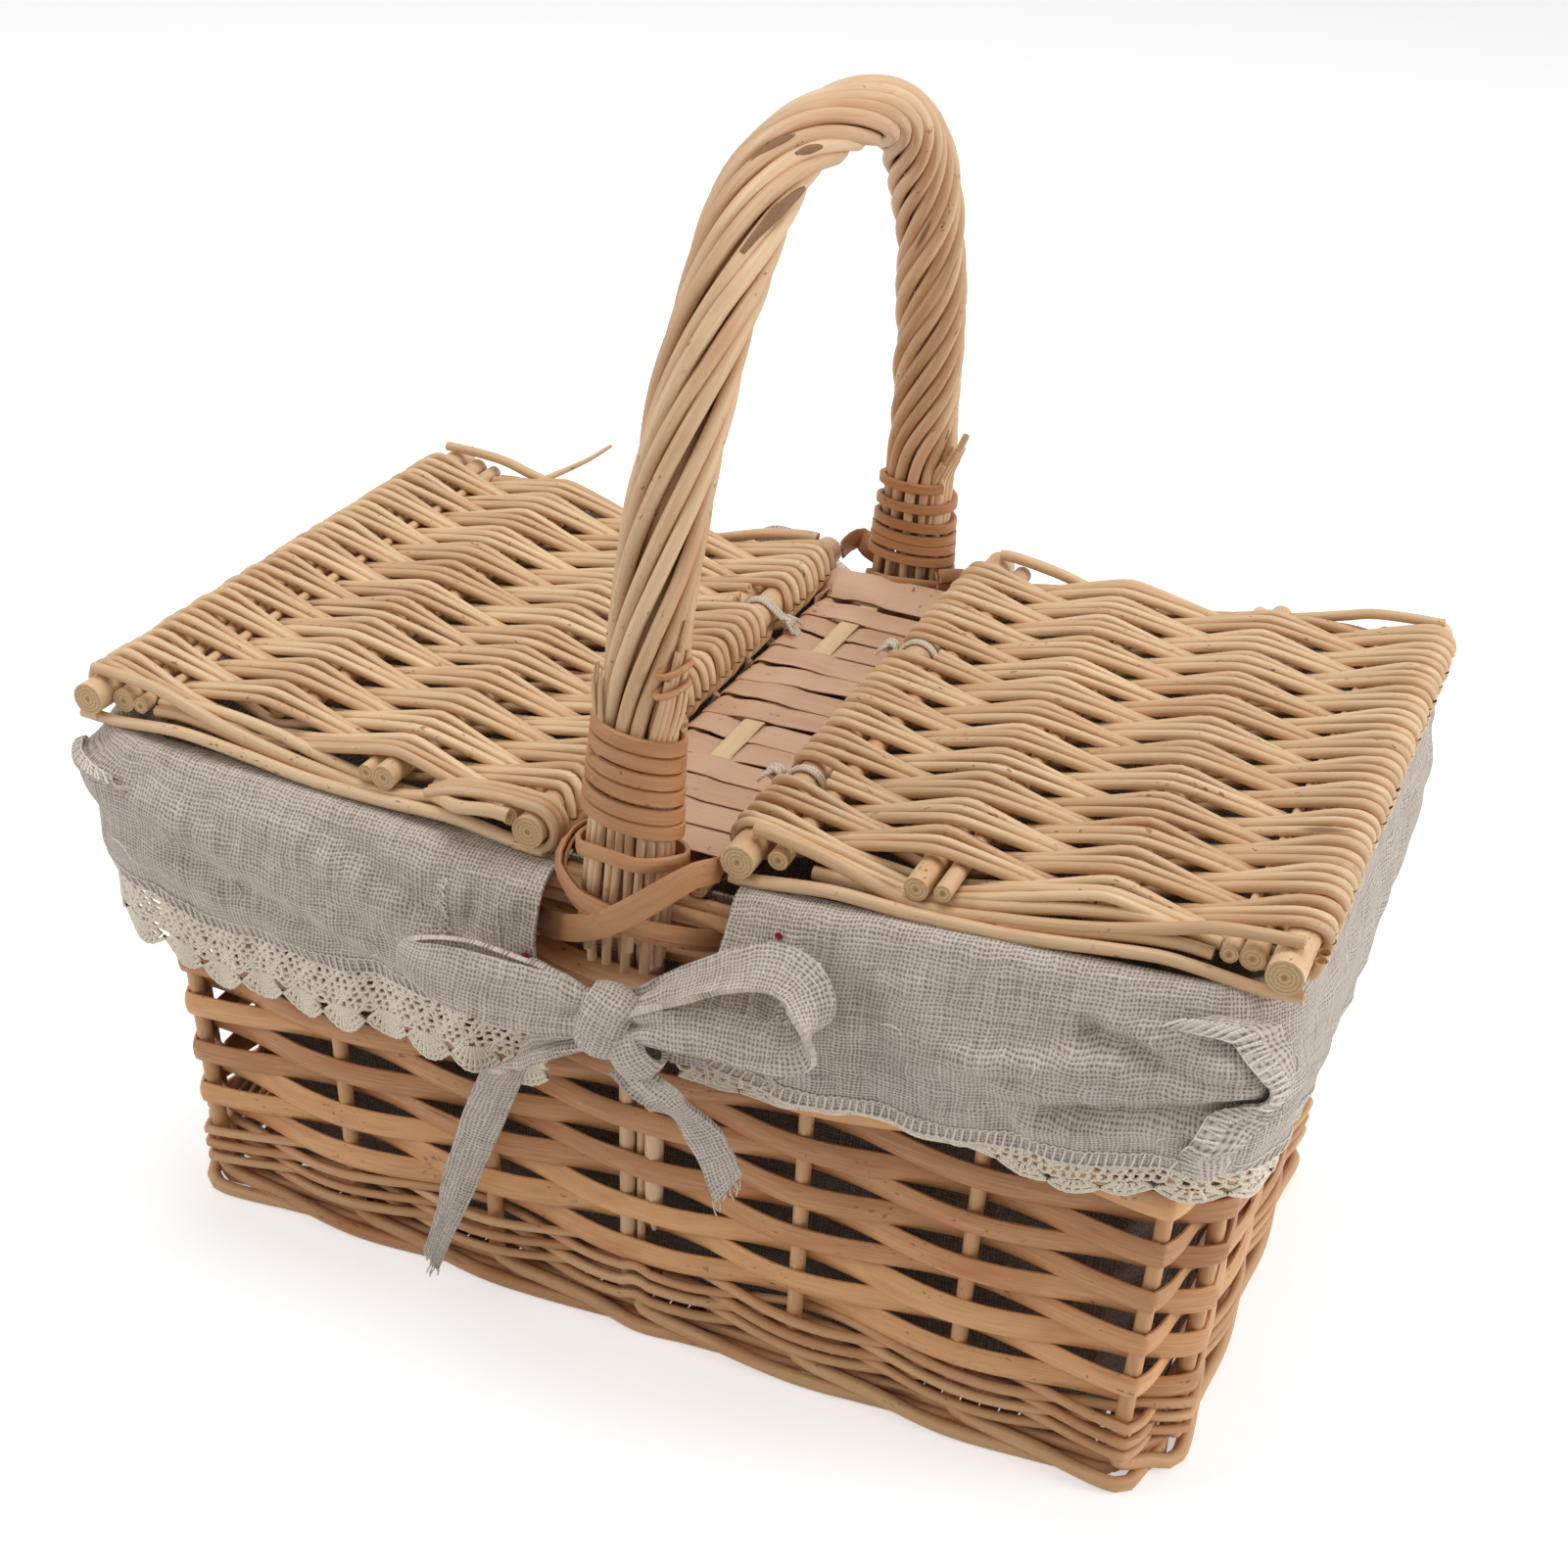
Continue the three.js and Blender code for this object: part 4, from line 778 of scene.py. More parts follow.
# %% Bark, core and legs of the handle
BARK_FLAKES = ((-64, -34, -0.95, 1.75), (-40, -22, -1.5, 1.6), (-30, -18, -0.6, 1.3))
LEG_RODS = ((-5.2, 2.9, 14), (-0.2, 1.5, 20), (4.7, 3.4, 46))
LEG_TOP, LEG_STOPS, FLAKE_STOPS = 186, 16, 14
flake = Bundle(bark, bark)
for first, last, lean, size in BARK_FLAKES:
    spot = np.interp(np.linspace(first, last, FLAKE_STOPS), ARCH[:, 1], ARCH_S)
    turned = np.interp(spot, s, twist)
    lane = np.rint((lean - turned[0]) * HANDLE_RODS / (2 * np.pi) - 0.5)
    path = on_handle(spot, 2 * np.pi * (lane + 0.5) / HANDLE_RODS + turned, HANDLE_ROD - 1.1)
    swell = np.sin(np.linspace(0.25, 2.95, FLAKE_STOPS)) ** 0.5
    flake.rod(path, size * swell + wander(FLAKE_STOPS, 0.08, 3), 0.3)
flake.build("handle_bark", "willow")
bundle.rod(along_arch(ARCH, np.linspace(4, ARCH_LENGTH - 4, 80)), HANDLE_CORE, 0.1)
for front in (-1, 1):
    for x, radius, low in LEG_RODS:
        z = np.linspace(low, LEG_TOP, LEG_STOPS)
        y = front * (wall_y(z) - STAKE_DEPTH)
        size = np.full(LEG_STOPS, radius)
        if low > 40:
            size = np.clip((z - low + 1.2) / 14, 0, 1) ** 0.6 * radius
        bundle.rod(places(-front * x, y, z), np.maximum(size, 0.4))

# %% Thin sticks and splinters at the feet
THIN_STICKS, STUBS, SPLINTERS = 6, 5, 7
STUB_FANS = ((-0.75, -0.35, 0.17, 0.9), (0.5, 0.3, 0.2, 1.4))
for side, (first, last, fan, tip) in enumerate(STUB_FANS):
    for k in range(THIN_STICKS):
        s = np.linspace(0, 52, 14)
        angle = np.full(14, -np.pi * (k + 0.5) / THIN_STICKS + 0.26) + 0.004 * (s - 20)
        path = on_handle(from_foot(side, s), angle, 0.5)
        low = path[:1] - ((2.0, 0, 15 + 6 * rng.random()),)
        bundle.rod(np.vstack([low, path]), 1.5)
    for k in range(STUBS):
        s = np.linspace(34, 92 - 9 * abs(k - 2), 16)
        angle = np.linspace(first, last, 16) + fan * (k - 2)
        path = on_handle(from_foot(side, s), angle, 0.8 + 2.6 * ease((s - 50) / 16))
        if side:
            path = path[:11] + np.outer(ease((s[:11] - 50) / 40), (6 + 1.5 * k, 0, 0))
        bundle.rod(path, np.linspace(1.45, tip, len(path)))
for k in range(SPLINTERS):
    s = np.linspace(46, 58 + 18 * rng.random(), 6)
    path = on_handle(s, np.full(6, -2.75 + 0.1 * k), HANDLE_ROD + 0.4)
    path = path + np.outer(ease((s - 52) / 20), (-2.5 * rng.random(), -1, 0))
    bundle.rod(path, np.linspace(1.0, 0.35, 6), 0.3)
bundle.build("handle_rods", "willow", ["handle"])

# %% Bindings above the feet
FRONT_BAND = [
    (-13, -116, 203), (-17.2, -124, 203.5), (-14, -131.5, 204.5), (-8, -135.4, 206.8), (1, -138, 208),
    (7.3, -137, 206.8), (13, -133.8, 206.6), (17.2, -128.5, 206), (17.8, -122, 204), (12, -114.5, 203),
    (-4, -112, 203), (-13, -116, 203),
]
BACK_BAND = [
    (-15, 116, 197), (-17, 124, 194), (0, 135, 191), (16, 124, 195), (14, 112, 200), (-2, 106, 201),
    (-15, 116, 197),
]
FRONT_STEPS, BACK_STEPS = (27, 5.2, 5.2, 5.2, 5.2, 5.2, 5.2), (17, 4.6, 4.6, 4.6, 4.6, 7.5, 8.5)
BINDINGS = {"front": (FRONT_STEPS, (2.45, 1.0), FRONT_BAND), "back": (BACK_STEPS, (1.9, 1.1), BACK_BAND)}
STUB_TIES = (72, 78)
WRAP_STOPS = 200
for side, (name, (steps, half, band)) in enumerate(BINDINGS.items()):
    wrap = Bundle(bound, cut_end)
    turns = len(steps) - 1
    a = np.linspace(0, 2 * np.pi * turns, WRAP_STOPS)
    s = np.interp(a / (2 * np.pi), np.arange(turns + 1), np.cumsum(steps))
    s = from_foot(side, s + 1.3 * np.cos(a + 2.6) + wander(WRAP_STOPS, 0.25, 12))
    path = on_handle(s, -a + 0.6, 3.6)
    wrap.skein(path, half, 0.6, path - along_arch(ARCH, s))
    band = smooth_line(band, 3)
    out = band - (0, band[:, 1].mean(), 0)
    wrap.skein(band, (2.5, 0.8), 0.75, out * (0.7, 1.3, 0), False)
    for s in () if side else STUB_TIES:
        ring = np.linspace(0, 2 * np.pi, 26)
        middle = on_handle(np.array([s]), np.array([-0.55]), 3.4)[0]
        away = unit(middle - along_arch(ARCH, np.array([s]))[0])
        beside = np.array((away[1], -away[0], 0.0)) * -1
        tie = middle + np.outer(np.cos(ring), away) * 2.7 + np.outer(np.sin(ring), beside) * 5.6
        wrap.rod(tie + np.outer(np.sin(ring), (0, 0, 1.2)), 1.1, ends=False)
    wrap.build(f"{name}_binding_skein", "skein", [f"{name}_leg_binding"])

# %% Skeins that lash the feet to the rim
for name, front, foot in (("front", -1, 126 + 12.6), ("back", 1, 119 + 12.6)):
    lash = Bundle(bound, cut_end)
    loop = [
        (-14, 112, 203), (-19, 118, 202), (-21.5, 124, 199.5), (-21.2, 129, 193.2), (-12.6, foot - 4, 188.3),
        (-2.7, foot - 1, 187.6), (5.4, foot - 1, 186), (12.3, foot - 2.6, 184), (19.2, foot - 6.6, 182),
        (25.8, 127, 179.8), (31, 121, 178),
    ]
    cross = [
        (-35, 121, 168), (-26, 128, 171), (-12, foot - 4, 177.5), (1.3, foot + 1.2, 187),
        (12, foot + 1.4, 196), (20, foot - 2, 202.5), (24.5, 131.5, 205), (27.5, 126.5, 204.5),
        (28.6, 121, 203),
    ]
    for line, wide, tone, lift in ((loop, 3.7, 0.35, 0.0), (loop, 2.7, 0.6, 1.2), (cross, 4.4, 0.75, 0.0)):
        path = smooth_line([(-front * x, front * y, z) for x, y, z in line], 3)
        outward = places(path[:, 0] * 0.9, path[:, 1] - front * 108, 3.0)
        lash.skein(path + unit(outward) * lift + (0, 0, 1.3 * lift), (wide, 0.6), tone, outward)
    lash.build(f"{name}_lash_skeins", "skein", [f"{name}_leg_lashing"])

# %% [markdown]
# ## Bridge between the lids
# A fixed strip crosses the opening under the handle. Two rods carry it, broad skeins are wound round
# both, and a pale slat is threaded through them. The skeins lie side by side with a little slant, so
# each is its own closed loop.

# %% Rods of the bridge
BRIDGE_Z, BRIDGE_ROD_X, BRIDGE_ROD, BRIDGE_WIDER = 191.5, 19.8, 3.2, 3.0
rods = Bundle(peeled, cut_end)
for x, front_end in ((-BRIDGE_ROD_X - BRIDGE_WIDER, -110), (BRIDGE_ROD_X, -118)):
    y = np.linspace(front_end, 118, 24)
    rods.rod(places(x, y, BRIDGE_Z + wander(24, 0.1)), BRIDGE_ROD, section=STICK)
rods.build("bridge_rods", "willow", ["bridge_left_rod", "bridge_right_rod"])

# %% Skeins of the bridge
BRIDGE_HALF, LOOPS, WINDOWS, SLAT_X = 104, 14, (4, 5, 10, 11), -6.0
SKEIN_REACH, SKEIN_THICK = BRIDGE_ROD + 0.75, 0.45
LAST_SHIFT, LAST_LIFT = 3.5, 3.0


def loop_y(k):
    return 2 * BRIDGE_HALF * (k + 0.5) / LOOPS


bend = np.linspace(-np.pi / 2, np.pi / 2, 9)
right_turn = np.stack([BRIDGE_ROD_X + SKEIN_REACH * np.cos(bend), SKEIN_REACH * np.sin(bend)], 1)
span = np.linspace(0.93, -0.93, 17) * BRIDGE_ROD_X
below = np.stack([-span, np.full(len(span), -SKEIN_REACH)], 1)
wound = Bundle(skein, cut_end)
for k in range(LOOPS):
    lifted = (-0.9 if k in WINDOWS else 0.7) * ease((9 - np.abs(span - SLAT_X)) / 6)
    across = np.stack([span, SKEIN_REACH + lifted], 1)
    x, z = np.vstack([right_turn, across, -right_turn, below]).T
    slant = rng.normal(0.6, 1.3) * x / 24 * np.sign(z)
    raised = (z > 0) * (k == LOOPS - 1)
    wider = BRIDGE_WIDER * np.clip(0.5 - x / (2 * BRIDGE_ROD_X), 0, 1)
    y = -BRIDGE_HALF + loop_y(k) + slant + LAST_SHIFT * raised
    path = places(x - wider, y, BRIDGE_Z + z + LAST_LIFT * raised)
    round_rod = np.where(np.abs(x) > BRIDGE_ROD_X, x - np.sign(x) * BRIDGE_ROD_X, 0)
    outward = places(round_rod, (0.05 - 0.55 * raised) * SKEIN_REACH, z)
    path, outward = (np.vstack([line, line[:1]]) for line in (path, outward))
    wound.skein(path, (rng.uniform(7.0, 7.8), SKEIN_THICK), None, outward)
wound.build("bridge_skeins", "skein", ["bridge_weave"])

# %% Slat of the bridge
SLAT_STOPS, SLAT_HALF = 130, (3.6, 0.5)
y = np.linspace(-109, 107, SLAT_STOPS)
on_top = np.max([ease((11 - np.abs(y + BRIDGE_HALF - loop_y(k))) / 6) for k in WINDOWS], 0)
slat_z = BRIDGE_Z + SKEIN_REACH - 1.1 + 1.6 * on_top
slat = Bundle(pale_slat, cut_end)
slat.skein(places(SLAT_X, y, slat_z), SLAT_HALF, 0.8, (0, 0, 1))
slat.build("bridge_pale_slat", "skein", ["bridge_slat"])

# %% [markdown]
# ## Lids
# A lid is a mat woven over four groups of sticks that run from front to back. Rows of three thin rods
# go over one group and under the next, turn round the edge stick and come back, so the edges look
# wrapped and the middle shows herringbone rows. The lid is made flat at its hinge and then set in place.

# %% Sizes and places of the lids
LID_SPAN, LID_DEPTH, LID_ROWS, LID_ROD, HINGE_X = 164.7, 226, 24, 1.82, 35.3
LID_PITCH = LID_DEPTH / LID_ROWS
EDGE_STICK, EDGE_HALF, INNER_STICK, INNER_HALF = 5.5, 125.5, 4, 119.5
EDGE_CREST, INNER_CREST = EDGE_STICK + LID_ROD + 0.15, 6.6
LIDS = {"left": (-1, 12, 2.0, (60, -56)), "right": (1, 21, 3.2, (-72, 32))}
TIE_TURNS = {"left": 3, "right": 2}
INNER_X, OUTER_X = LID_SPAN / 3, 2 * LID_SPAN / 3


def lid_place(side, rise, tilt):
    """Sets a lid on its hinge line, risen from the rim and tilted. The left one is also turned round."""
    turned = Matrix.Rotation(0 if side > 0 else math.pi, 4, "Z")
    tilted = Matrix.Rotation(-math.radians(tilt), 4, "Y")
    return Matrix.Translation((side * HINGE_X * MM, 0, (RIM_Z + rise) * MM)) @ (turned @ tilted)


LID_PLACES = {name: lid_place(*sizes[:3]) for name, sizes in LIDS.items()}
print("hinges at", [tuple(round(v, 4) for v in place.translation) for place in LID_PLACES.values()])

# %% Rows of a lid's mat
EDGE_BEND = np.linspace(0, np.pi / 2, 7)[1:]
BEND_ROUND, LANE_PITCH, END_ROOM = 3.0, 6.25, 1.5


def weave_height(x, sign):
    """Height of a rod over one stick and under the next, over the first if sign is 1, with straight runs."""
    bay = LID_SPAN / 6
    stick = np.clip(np.rint(x / (2 * bay)), 0, 3)
    crest = np.where((stick == 0) | (stick == 3), EDGE_CREST, INNER_CREST)
    away = np.hypot(x - stick * 2 * bay, BEND_ROUND) - BEND_ROUND
    farthest = np.hypot(bay, BEND_ROUND) - BEND_ROUND
    return sign * np.where(stick % 2 == 0, 1, -1) * crest * (1 - away / farthest)


def lid_row(bundle, row, ties, room):
    """The rods of one row, side by side where rows cross and spread where they ride over a stick."""
    sign = 1 if row % 2 == 0 else -1
    middle = (row - (LID_ROWS - 1) / 2) * LID_PITCH
    near = 0.5 * sign * LID_PITCH
    for lane in (-1, 0, 1):
        thick = LID_ROD * rng.uniform(0.84, 1.06)
        at_hinge = middle + lane * LANE_PITCH
        tied = min(min(abs(at_hinge - t), abs(at_hinge + near - t)) for t in ties) < room
        x = np.linspace(9 if tied else 0, LID_SPAN, 49)
        z = weave_height(x, sign) * rng.uniform(0.94, 1.0)
        fan = 3.0 + 3.25 * np.clip(np.abs(z) / INNER_CREST, 0, 1) ** 1.2
        y = middle + (lane + rng.normal(0, 0.07)) * fan + 0.25 * np.sin(x / 31 + row)
        z = z + (0.8 if lane == 0 else -0.2) * (1 - np.abs(z) / EDGE_CREST)
        reach = EDGE_STICK + thick + 0.15
        out, up = reach * np.sin(EDGE_BEND), sign * reach * np.cos(EDGE_BEND)
        shift = near * ease(EDGE_BEND / (np.pi / 2))
        first = places(-out, y[0] + shift, up)
        last = places(LID_SPAN + out, y[-1] - shift, -up)
        flat = places(x, y, z)
        line = np.vstack([flat, last] if tied else [first[::-1], flat, last])
        line[:, 1] = np.clip(line[:, 1], -LID_DEPTH / 2 + END_ROOM, LID_DEPTH / 2 - END_ROOM)
        bundle.rod(line, thick, ends=tied)


print("rows of a lid:", LID_ROWS, "each", round(LID_PITCH, 2), "mm")

# %% Mat of a lid
HINGE_WRAPS, WRAP_ROD = (114.9, 118.2, 121.3), 1.65


def lid_mat(name, ties):
    mat = Bundle(peeled, cut_end)
    for row in range(LID_ROWS):
        lid_row(mat, row, ties, 2.2 + 0.8 * TIE_TURNS[name])
    for y in HINGE_WRAPS if name == "left" else ():
        bend = np.linspace(0, 1.15 * np.pi, 12)
        turn = places(-EDGE_CREST * np.sin(bend), y, EDGE_CREST * np.cos(bend))
        lead = smooth_line([(40, y - 3, -1.0), (30, y - 1.5, 3.4), (18, y, 6.6), (8, y, EDGE_CREST)], 3)
        mat.rod(np.vstack([lead, turn]), WRAP_ROD)
    mat.build(f"{name}_lid_weave", "willow", [f"{name}_lid_mat"], f"{name}_lid", LID_PLACES[name])


# %% Sticks of a lid
PARED = (LID_SPAN - 17.0, LID_SPAN - 10.3)
STICKS = [
    (0, EDGE_STICK), (10.6, 3.4), (INNER_X, INNER_STICK), (INNER_X + 7.6, 2.8), (OUTER_X, INNER_STICK),
    (OUTER_X - 7.6, 2.8), (PARED[0], 2.7), (PARED[1], 3.8), (LID_SPAN, EDGE_STICK),
]
SHORT_END, STICK_STOPS = {"left": 96.5, "right": 111.0}, 30
STICK_KINDS = ("hinge_stick", "outer_stick", "near_stick", "far_stick")


def lid_sticks(name, side):
    sticks = Bundle(peeled, cut_end)
    for x, radius in STICKS:
        half = (EDGE_HALF if radius == EDGE_STICK else INNER_HALF) + rng.uniform(-1.5, 0)
        far = SHORT_END[name] if abs(x - OUTER_X) < 9 else half
        y = np.linspace(-far, half, STICK_STOPS) if side > 0 else np.linspace(-half, far, STICK_STOPS)
        bow = wander(STICK_STOPS, 0.25, 8)
        pared = 1 - 0.42 * (1 - ease((np.abs(y) - 102) / 10)) * (x in PARED)
        size = radius * pared * (1 + wander(STICK_STOPS, 0.02, 10))
        sticks.rod(places(x + bow, y, bow * 0.4), size, section=STICK)
    nodes = [f"{name}_lid_{kind}" for kind in STICK_KINDS]
    sticks.build(f"{name}_lid_sticks", "willow", nodes, f"{name}_lid", LID_PLACES[name])


print("sticks to a lid:", len(STICKS))

# %% Edge rods of a lid, and both lids
OVER_ROD = [
    (2.5, 7.6), (8, 7.4), (26, 3.0), (INNER_X, -6.4), (82, -5.0), (OUTER_X, -1.2), (130, 3.4), (142, 6.6),
    (156, 7.7), (168, 7.7),
]
UNDER_ROD = [
    (-4, -7.3), (3, -7.7), (28, -5.2), (INNER_X, -6.9), (82, -7.2), (OUTER_X, -5.0), (128, -3.9), (139, -4.8),
    (148, -6.2), (158, -7.5), (170, -7.5),
]
FILL_ROD = [(20, -5.0), (INNER_X, -6.6), (80, -3.4), (100, 0.4), (118, 2.2), (132, 1.6), (144, -0.8)]
BACKING_ROD = [(80, -6.2), (102, -3.6), (120, -1.2), (134, -0.6), (143, -1.6)]
LEFT_FRONT_ROD = [(6.5, 4.4), (14, 4.2), (26, 1.4)] + OVER_ROD[3:]
EDGE_RODS = (
    (OVER_ROD, 116.6, 1.0), (UNDER_ROD, 120.8, 1.0), (FILL_ROD, 112.6, 0.0), (BACKING_ROD, 117.2, 0.2)
)
TWIG = [
    (-160.6, 111, 206.5), (-158.5, 117, 207.5), (-153, 127, 209.5), (-147, 135.5, 212.5), (-141.5, 144, 216.5)
]


def lid_edges(name, side):
    edges = Bundle(peeled, cut_end)
    for end in (-1, 1):
        back_edge = end * side > 0
        for line, away, spring in EDGE_RODS:
            beside_wraps = name == "left" and not back_edge and line is OVER_ROD
            x, z = smooth_line(LEFT_FRONT_ROD if beside_wraps else line, 2.5).T
            bow = (3.2 if back_edge else 0.6) * spring * np.sin(np.pi * np.clip(x / LID_SPAN, 0, 1))
            aside = 8.3 * ease((40 - x) / 18) if beside_wraps else 0.0
            y = end * (away + bow + aside + wander(len(x), 0.2, 10))
            edges.rod(places(x, y, z), np.linspace(2.3, 2.0, len(x)))
    if name == "left":
        inside = LID_PLACES[name].inverted()
        line = smooth_line(np.array([inside @ Vector(np.array(p) * MM) / MM for p in TWIG]), 2)
        edges.rod(line, np.linspace(1.5, 0.8, len(line)), 0.5)
    nodes = [f"{name}_lid_front_rod", f"{name}_lid_back_rod"]
    edges.build(f"{name}_lid_edge_rods", "willow", nodes, f"{name}_lid", LID_PLACES[name])


for name, (side, _, _, ties) in LIDS.items():
    lid_mat(name, ties)
    lid_sticks(name, side)
    lid_edges(name, side)

# %% [markdown]
# ## String ties of the hinges
# Each lid is tied to the bridge rod with a few turns of white string, loose enough for the lid to turn.
# The turns are belts round the two sticks, laid side by side, with a small knot and two ends on top.

# %% Ties
STRING, TURN_PITCH = 0.75, 1.6
TIE_KNOTS = {"left": (-24.3, 199.0), "right": (25.0, 211.0)}
TIE_END = np.array([(0, 0, 0.4), (0.6, 2, 1.6), (2.2, 3.6, 0.8), (4.2, 4.6, -1.4)])
KNOT_TURN = np.linspace(0, 2.6 * 2 * np.pi, 40)


def belt(first, first_r, second, second_r, count=14):
    """A closed loop in X and Z round two circles, the first to the right of the second."""
    gap = np.array(first) - np.array(second)
    lean = math.atan2(gap[1], gap[0])
    open_ = math.acos((first_r - second_r) / np.hypot(*gap))
    a = np.linspace(lean - open_, lean + open_, count)
    b = np.linspace(lean + open_, lean + 2 * np.pi - open_, count)
    outer = np.array(first) + first_r * np.stack([np.cos(a), np.sin(a)], 1)
    inner = np.array(second) + second_r * np.stack([np.cos(b), np.sin(b)], 1)
    return np.vstack([outer, inner, outer[:1]])


for name, (side, rise, _, ties) in LIDS.items():
    bridge = (BRIDGE_ROD_X + (BRIDGE_WIDER if side < 0 else 0), BRIDGE_Z)
    loop = belt((HINGE_X, RIM_Z + rise), EDGE_STICK + STRING + 0.3, bridge, BRIDGE_ROD + 1.6 + STRING)
    wave = np.linspace(0, 2 * np.pi, len(loop))
    for where, y in zip(("front", "back"), ties if side > 0 else [-t for t in ties]):
        tie = Bundle(tie_string, tie_string)
        for turn in range(TIE_TURNS[name]):
            shift = y + (turn - (TIE_TURNS[name] - 1) / 2) * TURN_PITCH + 0.4 * np.sin(wave + turn)
            tie.cord(places(side * loop[:, 0], shift, loop[:, 1]), STRING, False)
        top_x, top_z = TIE_KNOTS[name]
        for way in (-1, 1):
            tie.cord(smooth_line((top_x, y, top_z) + TIE_END * (-side, way, 1), 1), STRING * 0.9)
        knot_x, knot_z = top_x + 2.2 * np.cos(KNOT_TURN), top_z + 0.6 + 1.7 * np.sin(KNOT_TURN)
        tie.cord(places(knot_x, y - 2 + 1.55 * KNOT_TURN / 6.3, knot_z), STRING)
        tie.build(f"{name}_{where}_string", "string", [f"{name}_hinge_tie_{where}"])

# %% [markdown]
# ## Linen liner
# A loose bag of coarse linen lines the basket, and its top is turned out over the rim as two cuffs that
# hang between the feet of the handle. A cloth simulation could drape them, but the folds and the hem
# heights are known from the picture, so the cuffs are laid along the rim with those folds.

# %% Cloth with two faces
CLOTH_TONE = 0.5


class Cloth(Bundle):
    def sheet(self, grid, thick, lengths):
        """A cloth with two faces and an edge, from a grid of places and its flat lengths both ways."""
        n, m = grid.shape[:2]
        normal = unit(np.cross(np.gradient(grid, axis=0), np.gradient(grid, axis=1)))
        u, v = lengths
        i, j = (g.ravel() for g in np.meshgrid(np.arange(n - 1), np.arange(m - 1), indexing="ij"))
        spots = ((i, j), (i + 1, j), (i + 1, j + 1), (i, j + 1))
        top = np.stack([p * m + q for p, q in spots], -1) + self.count
        uv = np.stack([np.stack([u[p], v[q]], -1) for p, q in spots], 1)
        self._faces(top, uv, 0)
        self._faces(top[:, ::-1] + n * m, uv[:, ::-1], 0)
        loop = [(p, 0) for p in range(n)] + [(n - 1, q) for q in range(1, m)]
        loop += [(p, m - 1) for p in range(n - 2, -1, -1)] + [(0, q) for q in range(m - 2, 0, -1)]
        ring = np.array([p * m + q for p, q in loop]) + self.count
        edge = np.stack([ring, ring + n * m, np.roll(ring, -1) + n * m, np.roll(ring, -1)], -1)
        here = np.array([(u[p], v[q]) for p, q in loop])
        after = np.roll(here, -1, 0)
        self._faces(edge, np.stack([here, here, after, after], 1), 0)
        for face in (0.5, -0.5):
            self._points((grid + normal * face * thick).reshape(-1, 3), CLOTH_TONE)


# %% Bag inside the wall
BAG_THICK, BAG_DEPTH, BAG_STOPS, BAG_X, BAG_Y, BAG_Z = 1.3, 12.4, 220, 176, 98, 9.4
heights = np.linspace(9.3, 189.4, 30)
rows = []
for z in heights:
    ring = corners(z, BAG_DEPTH)
    ring = np.vstack([ring, ring[:1]])
    length = lengths_along(ring)
    girth = np.linspace(0, length[-1], BAG_STOPS)
    flat = np.stack([np.interp(girth, length, way) for way in ring.T], 1)
    waves = 1.6 * np.sin(girth / 17 + 2 * np.sin(z / 50)) + 0.6 * np.sin(girth / 6.1 + z / 23)
    free = float(ease((186 - z) / 16))
    pull = (2.6 + 14 * ease((168 - z) / 80) + waves) * free - 4.3 * (1 - free)
    flat = flat + unit(-flat * (1, 1.7)) * pull[:, None]
    rows.append(places(*flat.T, z))
bag = Cloth(shaded_bag_cloth)
bag.sheet(np.array(rows), BAG_THICK, (heights, girth))
x, y = np.meshgrid(np.linspace(-1, 1, 60), np.linspace(-1, 1, 36), indexing="ij")
narrow = 1 - 0.35 * np.clip(np.abs(x) + np.abs(y) - 1.72, 0, 1)
ripple = 0.6 + 0.5 * np.sin(9 * x + 3 * y) * np.sin(7 * y - 2 * x)
floor_grid = places(x * BAG_X * narrow, y * BAG_Y * narrow, BAG_Z + ripple)
bag.sheet(floor_grid, BAG_THICK, (BAG_X * x[:, 0], BAG_Y * y[0]))
liner = bag.build("liner_cloth", "linen", ["liner_bag"])

# %% Line of the cuffs round the rim
CUFF_X, CUFF_Y, CUFF_ROUND, CUFF_SLIT = 176, 100, 22, 31
CUFF_FRONT, CUFF_BEND = CUFF_X - CUFF_SLIT, CUFF_ROUND * math.pi / 2
CUFF_LENGTH = 2 * (CUFF_FRONT + CUFF_BEND + CUFF_Y)


def cuff_station(side, s):
    """Place on the rim line and the way outward, at s along a cuff from the front."""
    d = min(s, CUFF_LENGTH - s)
    if d < CUFF_FRONT:
        x, y, nx, ny = CUFF_SLIT + d, -CUFF_Y - CUFF_ROUND, 0, -1
    elif d < CUFF_FRONT + CUFF_BEND:
        a = (d - CUFF_FRONT) / CUFF_ROUND
        nx, ny = math.sin(a), -math.cos(a)
        x, y = CUFF_X + CUFF_ROUND * nx, -CUFF_Y + CUFF_ROUND * ny
    else:
        x, y, nx, ny = CUFF_X + CUFF_ROUND, -CUFF_Y + d - CUFF_FRONT - CUFF_BEND, 1, 0
    flip = -1 if s > CUFF_LENGTH / 2 else 1
    return side * x, y * flip, side * nx, ny * flip


print("each cuff:", round(CUFF_LENGTH), "mm along the rim")

# %% Fall of the cuffs
RIM_EDGE_Z = 183.1
HEM_LINE = {
    "left": ([0, 40, 90, 125, 150, 165, 182, 230], [133, 133, 134, 136, 142, 146, 141, 136]),
    "right": ([0, 14, 48, 83, 119, 140, 163, 182, 230], [131, 131, 136, 138, 142, 147, 151, 146, 139]),
}


